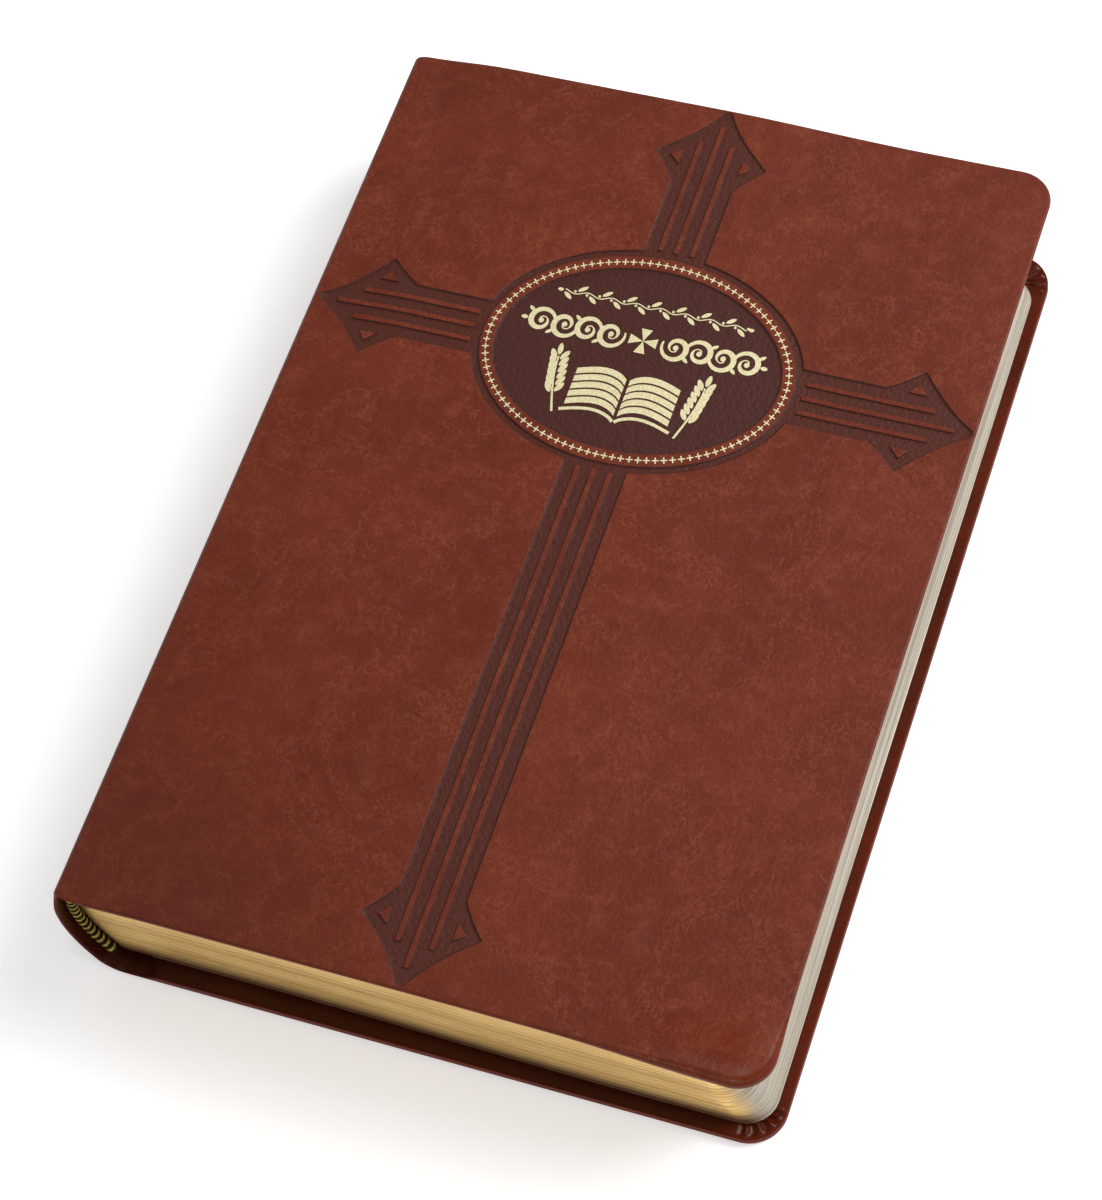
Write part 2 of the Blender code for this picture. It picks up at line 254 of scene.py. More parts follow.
def finish_mesh(made, smooth_angle=40):
    body = bmesh.new()
    body.from_mesh(made.data)
    bmesh.ops.delete(body, geom=[v for v in body.verts if not v.link_faces], context="VERTS")
    bmesh.ops.recalc_face_normals(body, faces=body.faces)
    body.to_mesh(made.data)
    body.free()
    made.data.shade_smooth()
    made.data.set_sharp_from_angle(angle=math.radians(smooth_angle))
    keep_rest(made)


def in_polygon(points, polygon):
    """Which of an array's points lie inside a polygon."""
    polygon = np.array([tuple(p) for p in polygon])
    x, y = points[:, 0][:, None], points[:, 1][:, None]
    x0, y0 = polygon[:, 0][None], polygon[:, 1][None]
    x1, y1 = np.roll(polygon[:, 0], -1)[None], np.roll(polygon[:, 1], -1)[None]
    crosses = (y0 > y) != (y1 > y)
    rise = np.where(y1 == y0, 1e-12, y1 - y0)
    return np.count_nonzero(crosses & (x < x0 + (y - y0) * (x1 - x0) / rise), axis=1) % 2 == 1


def triangulated(rim, loops, loose):
    """Triangles over the region inside the rim, with every loop's edges kept.
    Returns the points, in the order rim, loops, loose, and the triangles."""
    points = [tuple(p) for p in rim]
    edges = [(i, (i + 1) % len(rim)) for i in range(len(rim))]
    for loop in loops:
        first = len(points)
        points += [tuple(p) for p in loop]
        edges += [(first + i, first + (i + 1) % len(loop)) for i in range(len(loop))]
    points += [tuple(p) for p in loose]
    made = delaunay_2d_cdt([Vector(p) / MM for p in points], edges, [], 0, 1e-5)
    place = {}
    for new, olds in enumerate(made[3]):
        for old in olds:
            place[new] = old
    for i, point in enumerate(made[0]):
        if i not in place:
            place[i] = len(points)
            points.append(tuple(point * MM))
    flat = np.array(points)
    triangles = np.array([[place[i] for i in face] for face in made[2] if len(face) == 3])
    return flat, triangles[in_polygon(flat[triangles].mean(axis=1), rim)]


def grid_points(low, high, step):
    xs = np.arange(low[0] + step / 2, high[0], step)
    ys = np.arange(low[1] + step / 2, high[1], step)
    rows = []
    for i, x in enumerate(xs):
        shift = step / 4 if i % 2 else -step / 4
        rows += [(x, y + shift) for y in ys]
    return np.array(rows)


def away_from(points, loops, gap):
    """The points that lie further than gap from every point of the loops."""
    marks = [p for loop in loops for p in loop]
    tree = kdtree.KDTree(len(marks))
    for i, p in enumerate(marks):
        tree.insert((p[0], p[1], 0.0), i)
    tree.balance()
    return np.array([p for p in points if tree.find((p[0], p[1], 0.0))[2] > gap])


def stepped(points, step):
    """A closed outline with points no further apart than step along each side."""
    made = []
    for i, a in enumerate(points):
        a, b = Vector(a), Vector(points[(i + 1) % len(points)])
        count = max(1, math.ceil((b - a).length / step))
        made += [a.lerp(b, k / count) for k in range(count)]
    return made


def offset_loop(loop, distance):
    """A closed anticlockwise outline moved outwards by a small distance."""
    made = []
    for i, p in enumerate(loop):
        before = (p - loop[i - 1]).normalized()
        after = (loop[(i + 1) % len(loop)] - p).normalized()
        along = (before + after).normalized()
        stretch = 1 / max(0.45, math.sqrt(max(0.0, (1 + before.dot(after)) / 2)))
        made.append(p + Vector((along.y, -along.x)) * distance * stretch)
    return made


# ------------------------------------------------------------------ materials


class Nodes:
    """Builds one material. Each call adds a node and gives its output."""

    def __init__(self, name):
        self.material = bpy.data.materials.new(name)
        self.material.use_nodes = True
        self.tree = self.material.node_tree
        self.shader = self.tree.nodes["Principled BSDF"]

    def feed(self, socket, value):
        if isinstance(value, bpy.types.NodeSocket):
            self.tree.links.new(value, socket)
        else:
            socket.default_value = value

    def add(self, kind, inputs=None, output=0, **settings):
        node = self.tree.nodes.new(kind)
        for key, value in settings.items():
            setattr(node, key, value)
        for key, value in (inputs or {}).items():
            self.feed(node.inputs[key], value)
        return node.outputs[output]

    def attribute(self, name, output="Fac"):
        return self.add("ShaderNodeAttribute", output=output, attribute_name=name)

    def place(self, stretch=(1.0, 1.0, 1.0)):
        rest = self.attribute("rest_place", "Vector")
        return self.add("ShaderNodeMapping", {"Vector": rest, "Scale": stretch})

    def noise(self, where, scale, detail=3.0, roughness=0.5, distortion=0.0):
        values = {"Vector": where, "Scale": scale, "Detail": detail}
        return self.add("ShaderNodeTexNoise", {**values, "Roughness": roughness, "Distortion": distortion})

    def creases(self, where, scale, width, detail, roughness, distortion):
        """Thin winding lines, where a noise crosses its middle value."""
        field = self.noise(where, scale, detail, roughness, distortion)
        return self.map(self.size(self.minus(field, 0.5)), width, 0.0)

    def rest_axes(self):
        """The point at rest, and its X, Y and Z apart."""
        rest = self.attribute("rest_place", "Vector")
        apart = self.add("ShaderNodeSeparateXYZ", {"Vector": rest})
        return rest, *apart.node.outputs

    def cells(self, where, scale):
        return self.add("ShaderNodeTexVoronoi", {"Vector": where, "Scale": scale})

    def math(self, operation, a, b=0.0):
        return self.add("ShaderNodeMath", {0: a, 1: b}, operation=operation)

    def times(self, a, b):
        return self.math("MULTIPLY", a, b)

    def plus(self, a, b):
        return self.math("ADD", a, b)

    def minus(self, a, b):
        return self.math("SUBTRACT", a, b)

    def larger(self, a, b):
        return self.math("MAXIMUM", a, b)

    def below(self, a, b):
        return self.math("LESS_THAN", a, b)

    def above(self, a, b):
        return self.math("GREATER_THAN", a, b)

    def size(self, a):
        return self.math("ABSOLUTE", a)

    def map(self, value, low, high, to_low=0.0, to_high=1.0):
        ends = {"Value": value, "From Min": low, "From Max": high, "To Min": to_low, "To Max": to_high}
        return self.add("ShaderNodeMapRange", ends, interpolation_type="SMOOTHSTEP")

    def mix(self, factor, a, b):
        a, b = ((*c, 1.0) if isinstance(c, tuple) else c for c in (a, b))
        return self.add("ShaderNodeMix", {"Factor": factor, 6: a, 7: b}, output=2, data_type="RGBA")

    def bump(self, height, distance, strength):
        return self.add("ShaderNodeBump", {"Height": height, "Distance": distance, "Strength": strength})

    def surface(self, **inputs):
        for key, value in inputs.items():
            if isinstance(value, tuple):
                value = (*value, 1.0)
            self.feed(self.shader.inputs[key.replace("_", " ")], value)
        return self.material


def leather_material(name, specular, matt=0.0):
    """Imitation leather: mottled, finely wrinkled, darker where pressed, glossy where turned in."""
    n = Nodes(name)
    where = n.place()
    pressed, edge, inner = n.attribute("pressed"), n.attribute("edge"), n.attribute("inner")

    # Mottled brown
    clouds = n.noise(where, 30.0, detail=3.0, roughness=0.55, distortion=0.4)
    blotches = n.noise(where, 170.0, detail=5.0, roughness=0.7, distortion=0.7)
    base = n.mix(n.map(clouds, 0.34, 0.68), (0.126, 0.0175, 0.0050), (0.151, 0.0220, 0.0066))
    base = n.mix(n.map(blotches, 0.48, 0.74, 0.0, 0.5), base, (0.196, 0.0365, 0.0120))
    base = n.mix(n.map(blotches, 0.46, 0.26, 0.0, 0.42), base, (0.092, 0.0135, 0.0052))

    # Pale creases: fine hatching that gathers in patches and along winding folds, and longer veins
    hatching = n.creases(n.place((1.0, 0.75, 1.0)), 680.0, 0.075, 2.0, 0.6, 0.35)
    folds = n.creases(where, 34.0, 0.045, 4.0, 0.62, 0.9)
    veins = n.creases(where, 130.0, 0.030, 4.0, 0.66, 0.8)
    patches = n.map(blotches, 0.42, 0.66)
    wisps = n.larger(n.times(folds, 0.50), n.times(patches, 0.26))
    base = n.mix(n.times(wisps, hatching), base, (0.245, 0.060, 0.0245))
    base = n.mix(n.times(n.times(veins, patches), 0.22), base, (0.240, 0.057, 0.0225))

    # Fine light and dark specks
    fine = n.noise(where, 1500.0, detail=2.0, roughness=0.65, distortion=0.5)
    base = n.mix(n.map(fine, 0.52, 0.80, 0.0, 0.45), base, (0.235, 0.055, 0.0230))
    base = n.mix(n.map(fine, 0.46, 0.22, 0.0, 0.45), base, (0.085, 0.0120, 0.0045))

    # Painted shade: darker towards the tail end of the spine, where less light falls
    towards = {0: where, 1: (0.72, 0.69, 0.0)}
    spine_tail_shade = n.add("ShaderNodeVectorMath", towards, output=1, operation="DOT_PRODUCT")
    base = n.mix(n.map(spine_tail_shade, -0.030, -0.125, 0.0, 0.42), base, (0.070, 0.0095, 0.0042))

    # The pressed pattern, painted shade along the walls of its pressing, and the glossy turned-in leather
    dark = n.mix(n.attribute("field"), (0.080, 0.0175, 0.0105), (0.062, 0.0150, 0.0105))
    colour = n.mix(pressed, base, dark)
    colour = n.mix(n.times(edge, 0.62), colour, (0.018, 0.006, 0.005))
    glossy = n.mix(n.map(clouds, 0.35, 0.65), (0.066, 0.0070, 0.0010), (0.096, 0.0110, 0.0014))
    # The field value marks the oval's pressed field on the outer face, and carries painted shade on the turned-in
    # leather: darker at head and tail and in the spine's hollow
    glossy = n.mix(n.times(n.attribute("field"), 0.8), glossy, (0.018, 0.0025, 0.0006))
    colour = n.mix(inner, colour, glossy)

    # Grain, flattened where the leather is polished
    grain = n.times(n.noise(where, 900.0, detail=4.0, roughness=0.75), 2.0)
    pebble = n.times(n.cells(where, 1150.0), n.plus(0.25, n.times(pressed, 0.75)))
    grain = n.minus(grain, pebble)
    calm = n.larger(n.times(inner, 0.85), n.times(n.attribute("polish"), 0.7))
    grain = n.times(grain, n.minus(1.0, calm))

    rough = n.plus(0.40 + matt, n.times(n.map(blotches, 0.3, 0.7), 0.08))
    rough = n.minus(rough, n.times(n.map(inner, 0.0, 0.3), 0.16))
    rough = n.minus(rough, n.times(n.attribute("polish"), 0.17))
    return n.surface(
        Base_Color=colour,
        Roughness=rough,
        Specular_IOR_Level=specular,
        Normal=n.bump(grain, 0.00012, 0.9),
    )


def foil_material():
    n = Nodes("gold_foil")
    where = n.place()
    specks = n.noise(where, 2600.0, detail=3.0, roughness=0.7)
    colour = n.mix(n.map(specks, 0.3, 0.7), (0.76, 0.64, 0.32), (1.0, 0.93, 0.62))
    return n.surface(
        Base_Color=colour,
        Metallic=0.35,
        Roughness=0.42,
        Normal=n.bump(specks, 0.00005, 0.6),
    )


def edge_material():
    """Cut page edges: gilt at head and tail, pale along the fore-edge, with fine leaf lines; the gilt has painted
    shade beside the folds and a painted reflection of the dark cover margin low down.
    """
    n = Nodes("page_edges")
    gilt = n.attribute("gilt")
    leaves = n.noise(n.place((14.0, 14.0, 3600.0)), 1.0, detail=2.0, roughness=0.6)
    groups = n.noise(n.place((7.0, 7.0, 800.0)), 1.0, detail=3.0, roughness=0.6, distortion=0.3)
    streaks = n.noise(n.place((60.0, 60.0, 160.0)), 1.0, detail=2.0)
    gold = n.mix(n.map(streaks, 0.3, 0.7), (0.72, 0.455, 0.155), (0.80, 0.53, 0.195))
    gold = n.mix(n.map(groups, 0.42, 0.30, 0.0, 0.22), gold, (0.42, 0.24, 0.08))
    # Painted shade beside the folds and a painted reflection of the dark cover margin low down: the gilt is darker
    # and less metallic there
    gold = n.mix(n.attribute("gilt_shade"), gold, (0.12, 0.042, 0.012))
    pale = n.mix(n.map(leaves, 0.35, 0.65), (0.29, 0.25, 0.19), (0.49, 0.435, 0.36))
    pale = n.mix(n.map(groups, 0.50, 0.32, 0.0, 0.7), pale, (0.20, 0.165, 0.12))
    return n.surface(
        Base_Color=n.mix(gilt, pale, gold),
        Metallic=n.times(gilt, n.minus(0.9, n.times(n.attribute("gilt_shade"), 0.5))),
        Roughness=n.minus(0.55, n.times(gilt, 0.22)),
        Normal=n.bump(n.plus(leaves, groups), 0.00004, n.minus(0.4, n.times(gilt, 0.28))),
    )


def paper_material():
    """Thin page paper with two columns of plain grey bars in place of print."""
    n = Nodes("page_paper")
    rest, x, y, _ = n.rest_axes()
    middle = (X_FOLDS + X_PAGES) / 2 + 2 * MM
    from_middle = n.size(n.minus(x, middle))
    column = n.times(n.above(from_middle, GUTTER_HALF), n.below(from_middle, PRINT_HALF))
    block = n.below(n.size(n.minus(y, PAGE_MIDDLE)), HALF_PAGE - PRINT_MARGIN)
    row = n.math("FRACT", n.math("DIVIDE", y, LINE_PITCH))
    bar = n.below(n.size(n.minus(row, 0.5)), 0.2)
    rows = n.math("FLOOR", n.math("DIVIDE", y, LINE_PITCH))
    across = n.add("ShaderNodeCombineXYZ", {0: n.times(x, 420.0), 1: n.times(rows, 7.3)})
    words = n.above(n.noise(across, 1.0, detail=0.0), 0.42)
    ink = n.times(n.times(column, block), n.times(bar, words))
    fibre = n.noise(rest, 700.0, detail=3.0)
    sheet = n.mix(n.map(fibre, 0.3, 0.7), (0.70, 0.64, 0.52), (0.76, 0.70, 0.59))
    colour = n.mix(n.times(ink, 0.42), sheet, (0.12, 0.11, 0.10))
    return n.surface(Base_Color=colour, Roughness=0.7, Normal=n.bump(fibre, 0.00003, 0.3))


def paper_like(name, light, dark, scale, roughness):
    """Paper or card with a fibre to it."""
    n = Nodes(name)
    where = n.place()
    fibre = n.noise(where, scale, detail=5.0, roughness=0.65)
    flecks = n.cells(where, scale * 1.7)
    colour = n.mix(n.map(fibre, 0.35, 0.65), dark, light)
    return n.surface(
        Base_Color=colour, Roughness=roughness, Normal=n.bump(n.plus(fibre, flecks), 0.00006, 0.35)
    )


def cloth_material(name, light, dark, threads_per_mm):
    n = Nodes(name)
    turns = 2 * math.pi * threads_per_mm / MM
    _, _, y, z = n.rest_axes()
    warp = n.math("SINE", n.times(y, turns))
    weft = n.math("SINE", n.times(z, turns))
    weave = n.larger(warp, weft)
    return n.surface(
        Base_Color=n.mix(n.map(weave, -0.6, 1.0), dark, light),
        Roughness=0.92,
        Normal=n.bump(weave, 0.0001, 0.6),
    )


def thread_material(name, light, dark, shine=0.5):
    n = Nodes(name)
    strands = n.noise(n.place((900.0, 5200.0, 900.0)), 1.0, detail=2.0)
    return n.surface(
        Base_Color=n.mix(n.map(strands, 0.3, 0.7), dark, light),
        Roughness=0.55,
        Specular_IOR_Level=shine,
        Normal=n.bump(strands, 0.00005, 0.5),
    )


LEATHER = leather_material("imitation_leather", 0.22)
LEATHER_EDGE = leather_material("imitation_leather_edge", 0.05, matt=0.2)
FOIL = foil_material()
PAGE_EDGE = edge_material()
PAGE_PAPER = paper_material()
ENDPAPER = paper_like("endpaper", (0.80, 0.75, 0.65), (0.72, 0.66, 0.55), 900.0, 0.7)
CARD = paper_like("inlay_card", (0.44, 0.37, 0.28), (0.33, 0.27, 0.20), 1200.0, 0.85)
BOARD = paper_like("grey_board", (0.40, 0.38, 0.34), (0.28, 0.26, 0.23), 1100.0, 0.9)
KRAFT = paper_like("kraft_paper", (0.42, 0.28, 0.16), (0.32, 0.20, 0.11), 1000.0, 0.8)
GAUZE = cloth_material("mull_gauze", (0.74, 0.72, 0.65), (0.30, 0.27, 0.22), 0.8)
LINEN = thread_material("linen_thread", (0.82, 0.79, 0.72), (0.62, 0.58, 0.50))
BAND_GOLD = thread_material("headband_gold_thread", (0.66, 0.52, 0.055), (0.14, 0.095, 0.010))
BAND_BLACK = thread_material("headband_black_thread", (0.022, 0.013, 0.004), (0.008, 0.005, 0.002), 0.1)


# ------------------------------------------------------------------ pressed cross and oval


def turned(x, y, degrees):
    a = math.radians(degrees)
    return CROSS + Vector((x * math.cos(a) - y * math.sin(a), x * math.sin(a) + y * math.cos(a)))


def arms():
    """Each arm's length from the crossing, its direction in degrees, and the oval's reach that way."""
    past = 0.2 * MM
    return [
        (X_FORE + past - CROSS.x, 0, OVAL_OUTER[0], OVAL_OUTER[1]),
        (HALF_H + past - CROSS.y, 90, OVAL_OUTER[1], OVAL_OUTER[0]),
        (CROSS.x - X_FRONT_SEAM + past, 180, OVAL_OUTER[0], OVAL_OUTER[1]),
        (CROSS.y + HALF_H + past, 270, OVAL_OUTER[1], OVAL_OUTER[0]),
    ]


def arm_side(length, along, across):
    """One side of an arm along +X, from the oval to the tip: shaft, barb and hollow flank."""
    barb = length - TIP_TO_BARB
    start = along * math.sqrt(1 - (SHAFT_HALF / across) ** 2)
    side = [(start, SHAFT_HALF), (barb - BARB_TO_SHAFT, SHAFT_HALF)]
    for i in range(1, 5):
        t = i / 4
        bow = 0.35 * MM * math.sin(math.pi * t)
        side.append((barb - BARB_TO_SHAFT * (1 - t), SHAFT_HALF + (BARB_HALF - SHAFT_HALF) * t - bow))
    for i in range(1, 13):
        t = i / 12
        side.append((barb + TIP_TO_BARB * t, BARB_HALF * (1 - t) - FLANK_HOLLOW * math.sin(math.pi * t)))
    return side


def pressed_outline():
    """The arms and the oval as one anticlockwise outline."""
    outline = []
    directions = arms()
    for k, (length, turn, along, across) in enumerate(directions):
        side = arm_side(length, along, across)
        outline += [turned(x, -y, turn) for x, y in side]
        outline += [turned(x, y, turn) for x, y in reversed(side[:-1])]
        first = math.atan2(SHAFT_HALF / across, math.sqrt(1 - (SHAFT_HALF / across) ** 2))
        after = directions[(k + 1) % 4]
        last = math.pi / 2 - math.atan2(SHAFT_HALF / after[3], math.sqrt(1 - (SHAFT_HALF / after[3]) ** 2))
        for i in range(1, 36):
            t = first + (last - first) * i / 36
            outline.append(turned(along * math.cos(t), across * math.sin(t), turn))
    return stepped(outline, 2.4 * MM)


def raised_marks():
    """Three raised lines and two raised triangles in each arm, as anticlockwise outlines."""
    marks = []
    for length, turn, along, _ in arms():
        for row in (-1, 0, 1):
            y = row * RIB_PITCH
            x0 = along + 0.45 * MM
            x1 = length - (4.9 * MM if row == 0 else 9.8 * MM)
            box = [(x0, y - RIB_HALF), (x1, y - RIB_HALF), (x1, y + RIB_HALF), (x0, y + RIB_HALF)]
            marks.append([turned(x, v, turn) for x, v in box])
        barb = length - TIP_TO_BARB
        spot = [(barb - 2.6 * MM, 6.9 * MM), (barb + 1.6 * MM, 6.9 * MM), (barb - 0.2 * MM, 9.4 * MM)]
        marks.append([turned(x, v, turn) for x, v in spot])
        marks.append([turned(x, -v, turn) for x, v in reversed(spot)])
    return [stepped(mark, 2.0 * MM) for mark in marks]


def ellipse(half_axes, count):
    turns = [2 * math.pi * i / count for i in range(count)]
    return [CROSS + Vector((half_axes[0] * math.cos(t), half_axes[1] * math.sin(t))) for t in turns]


class Pressing:
    """The pressed pattern: its loops, and how deep and dark each loop's points are, and the painted shade along
    its walls.
    """

    # Distance towards the raised side, share of the full depth, darkness, edge line of painted shade along the
    # walls
    STEPS = ((0.42 * MM, 0.0, 0.0, 0.0), (0.24 * MM, 0.0, 0.0, 0.0), (0.07 * MM, 0.12, 0.25, 1.0),
             (-0.07 * MM, 0.85, 1.0, 1.0), (-0.24 * MM, 1.0, 1.0, 0.0), (-0.42 * MM, 1.0, 1.0, 0.0))

    def __init__(self):
        band, marks = ellipse(OVAL_BAND, 160), raised_marks()
        self.arms, self.field = pressed_outline(), ellipse(OVAL_FIELD, 150)
        self.raised = [band, *marks]
        self.loops, self.values = [], []
        for outlines, scale in (([self.arms, self.field], 1.0), ([band], -1.0), (marks, -0.5)):
            for outline in outlines:
                for distance, *value in self.STEPS:
                    loop = offset_loop(outline, distance * scale)
                    self.loops.append(loop)
                    self.values += [value] * len(loop)

    def at(self, points):
        """Depth share, darkness and edge line of plain points."""
        inside = in_polygon(points, self.arms)
        for outline in self.raised:
            inside &= ~in_polygon(points, outline)
        share = (inside | in_polygon(points, self.field)).astype(float)
        return np.stack([share, share, np.zeros(len(points))], axis=1)


# ------------------------------------------------------------------ cover skins


def rim_thickness(x, panel_x):
    """Thickness of a cover's rim, from the thin joint to the full cover."""
    return TURNED_T + (COVER_T - TURNED_T) * smooth((x - panel_x + 1.0 * MM) / (5.0 * MM))


def rim_profile(t, outer=RIM_OUTER_R, lean=0.0):
    """The rolled edge of leather t thick: distance inwards and depth, from the outer face round to
    the inner one. It can lean in towards the inner face."""
    inner = RIM_INNER_R
    turns = [math.radians(22.5 * i) for i in range(5)]
    profile = [(outer * (1 - math.sin(a)), outer * (1 - math.cos(a))) for a in turns]
    lean *= t - outer
    return profile + [(lean + inner * (1 - math.cos(a)), t - inner + inner * math.sin(a)) for a in turns]


def corner_droop(x, y):
    """How much of the front cover's drooping corner a point has."""
    return smooth((x - 30 * MM) / (36 * MM)) * smooth((-y - HALF_H + 22 * MM) / (16 * MM))


def corner_curl(x, y):
    """How far the drooping corner's last few millimetres bend down towards the edge."""
    dx, dy = x - X_FORE + CORNER_R, -y - HALF_H + CORNER_R
    inset = np.where((dx > 0) & (dy > 0), CORNER_R - np.hypot(dx, dy), np.minimum(X_FORE - x, HALF_H + y))
    return CURL * corner_droop(x, y) * np.clip(1 - inset / CURL_W, 0.0, 1.0) ** 2


def path_profiles(path, front):
    """A rim profile for each point of a cover's outline. The front cover's edge leans in, and turns
    rounder and more upright towards its drooping corner."""
    if not front:
        return [rim_profile(p[4]) for p in path]
    made = []
    for x, y, _, _, t in path:
        droop = float(corner_droop(x, y))
        made.append(rim_profile(t, RIM_OUTER_R + RIM_ROUNDER * droop, RIM_LEAN * (1 - droop)))
    return made


def joint_thickness(y):
    """Thickness of the leather at a joint, thicker where its ends are turned in."""
    return JOINT_T + (TURNED_T - JOINT_T) * smooth((np.abs(y) - TURN_IN_START) / (1.2 * MM))


def finer_at_tip(places, tip):
    """Places along a side of the cover, finer where an arm of the cross ends."""
    fine = [tip + d * MM for d in (-2.4, -1.6, -1.0, -0.5, 0.0, 0.5, 1.0, 1.6, 2.4)]
    return sorted([p for p in places if abs(p - tip) > 3 * MM] + fine)


def outline_path(x_seam, panel_x):
    """Points along the cover's three free sides: place, outward direction and rim thickness."""
    near = [x_seam + d * MM for d in np.arange(0.0, 16.0, 0.8)]
    far = np.arange(x_seam + 16 * MM, X_FORE - CORNER_R, 3.0 * MM)
    tail = [(x, -HALF_H, 0.0, -1.0) for x in near + finer_at_tip(far, CROSS.x)]
    turns = [math.radians(3 * i) for i in range(31)]
    centre_x, centre_y = X_FORE - CORNER_R, HALF_H - CORNER_R
    outward = [(math.sin(a), -math.cos(a)) for a in turns]
    corner = [(centre_x + CORNER_R * nx, -centre_y + CORNER_R * ny, nx, ny) for nx, ny in outward]
    ys = np.arange(-centre_y + 3 * MM, centre_y - 2 * MM, 3.0 * MM)
    fore = [(X_FORE, y, 1.0, 0.0) for y in finer_at_tip(ys, CROSS.y)]
    head = [(x, -y, nx, -ny) for x, y, nx, ny in reversed(tail + corner)]
    path = tail + corner + fore + head
    return [(x, y, nx, ny, float(rim_thickness(x, panel_x))) for x, y, nx, ny in path]


def pleats(x, y):
    """Height of the gathered folds where the turned-in leather goes round a corner."""
    dx = x - (X_FORE - CORNER_R)
    dy = np.abs(y) - (HALF_H - CORNER_R)
    radius = np.hypot(dx, dy)
    angle = np.arctan2(dy, dx)
    ripple = 1 - np.abs(np.sin(9.5 * angle + 0.8 * np.sin(angle * 3.0) + np.where(y > 0, 0.5, 0.35)))
    fade = smooth((radius - 2.0 * MM) / (2.2 * MM)) * (1 - smooth((radius - 6.7 * MM) / (0.9 * MM)))
    around = smooth((dx + 1.2 * MM) / (2 * MM)) * smooth((dy + 1.2 * MM) / (2 * MM))
    return PLEAT_H * (ripple - 0.4) * fade * around


def corner_points():
    """Fine points over the pleats, at both corners."""
    made = []
    for side in (-1, 1):
        for radius in np.arange(2.2, 7.9, 0.45):
            count = int(radius * 10)
            for i in range(count + 1):
                a = math.radians(-6 + 102 * i / count)
                x = X_FORE - CORNER_R + radius * MM * math.cos(a)
                made.append((x, side * (HALF_H - CORNER_R + radius * MM * math.sin(a))))
    return np.array(made)


def front_inset(x, y):
    """Distance in from the nearest side of the front cover."""
    return np.minimum(np.minimum(X_FORE - x, x - X_FRONT_SEAM), HALF_H - np.abs(y))


def oval_share(x, y, half_axes):
    """Distance from the oval's centre, as a share of the distance to an ellipse."""
    return np.hypot((x - CROSS.x) / half_axes[0], (y - CROSS.y) / half_axes[1])


def wave(x, y):
    """Slow unevenness of a flexible cover, fading out at the rim and in the oval."""
    wide = np.sin(x * 61 + 1.3 * np.sin(y * 37)) * np.sin(y * 43 + 0.8)
    fine = np.sin(x * 173 + y * 91 + 0.4) * np.sin(y * 131 - x * 57)
    inset, oval = front_inset(x, y), oval_share(x, y, OVAL_OUTER)
    fade = smooth((inset - 2 * MM) / (16 * MM)) * smooth((oval - 1) / 0.4)
    return (0.11 * wide + 0.05 * fine) * MM * fade


def cover_skin(name, front):
    """A cover's leather as one closed form: outer face, rolled rim and the turned-in inner margin."""
    x_seam = X_FRONT_SEAM if front else X_BACK_SEAM
    panel_x = X_FRONT_PANEL if front else X_BACK_SEAM
    path = outline_path(x_seam, panel_x)
    profiles = path_profiles(path, front)
    seam = [Vector((x_seam, y)) for y in np.arange(HALF_H - 2.5 * MM, -HALF_H + 2.0 * MM, -2.5 * MM)]
    rings = []
    for k in (0, -1):
        rings.append([Vector((x - nx * rim[k][0], y - ny * rim[k][0]))
                      for (x, y, nx, ny, _), rim in zip(path, profiles)] + seam)

    top, top_faces, marks, depth = outer_face(rings[0], front)
    low, low_faces, inner = inner_face(rings[1], x_seam, panel_x)
    base = len(top)
    coords = [(x, y, d) for (x, y), d in zip(top, depth)] + [(x, y, d) for (x, y), d in zip(low, inner)]
    marks = list(marks) + [(0.0, 0.0, 0.0, 1.0)] * len(low)
    faces = [tuple(f) for f in top_faces] + [tuple(base + i for i in f) for f in low_faces]

    steps = len(profiles[0])
    previous = list(range(len(path)))
    ends = ([0], [len(path) - 1])
    rim_faces = []
    for k in range(1, steps):
        if k == steps - 1:
            current = [base + i for i in range(len(path))]
        else:
            current = []
            for (x, y, nx, ny, _), rim in zip(path, profiles):
                out, down = rim[k]
                current.append(len(coords))
                coords.append((x - nx * out, y - ny * out, down))
                dark = tip_mark(x, y, nx) if front and k < steps // 2 else 0.0
                marks.append((dark, 0.0, 0.0, 0.25 + 0.75 * float(smooth((k - 2) / (steps - 4)))))
        if k > 2:
            rim_faces += range(len(faces), len(faces) + len(path) - 1)
        faces += [(previous[i], previous[i + 1], current[i + 1], current[i]) for i in range(len(path) - 1)]
        ends[0].append(current[0])
        ends[1].append(current[-1])
        previous = current
    top_seam = [len(path) - 1 + i for i in range(len(seam) + 1)] + [0]
    low_seam = [base + i for i in top_seam]
    for i in range(1, len(top_seam) - 2):
        faces.append((top_seam[i], top_seam[i + 1], low_seam[i + 1], low_seam[i]))
    faces.append((*ends[1], low_seam[1], top_seam[1]))
    faces.append((*ends[0], low_seam[-2], top_seam[-2]))

    arr = np.array(coords)
    settle_cover(arr, front)
    made = new_object(name, arr, faces, LEATHER, LEATHER_EDGE)
    for i in rim_faces:
        made.data.polygons[i].material_index = 1
    marks = np.array(marks)
    # Painted shade: the turned-in leather's field value, darker at head and tail
    marks[:, 2] = np.where(marks[:, 3] > 0.9, end_shade(arr), marks[:, 2])
    for k, word in enumerate(("pressed", "edge", "field", "inner")):
        set_value(made, word, marks[:, k])
    if front:
        set_value(made, "polish", corner_droop(arr[:, 0], arr[:, 1]))
    finish_mesh(made, 55)
    return made


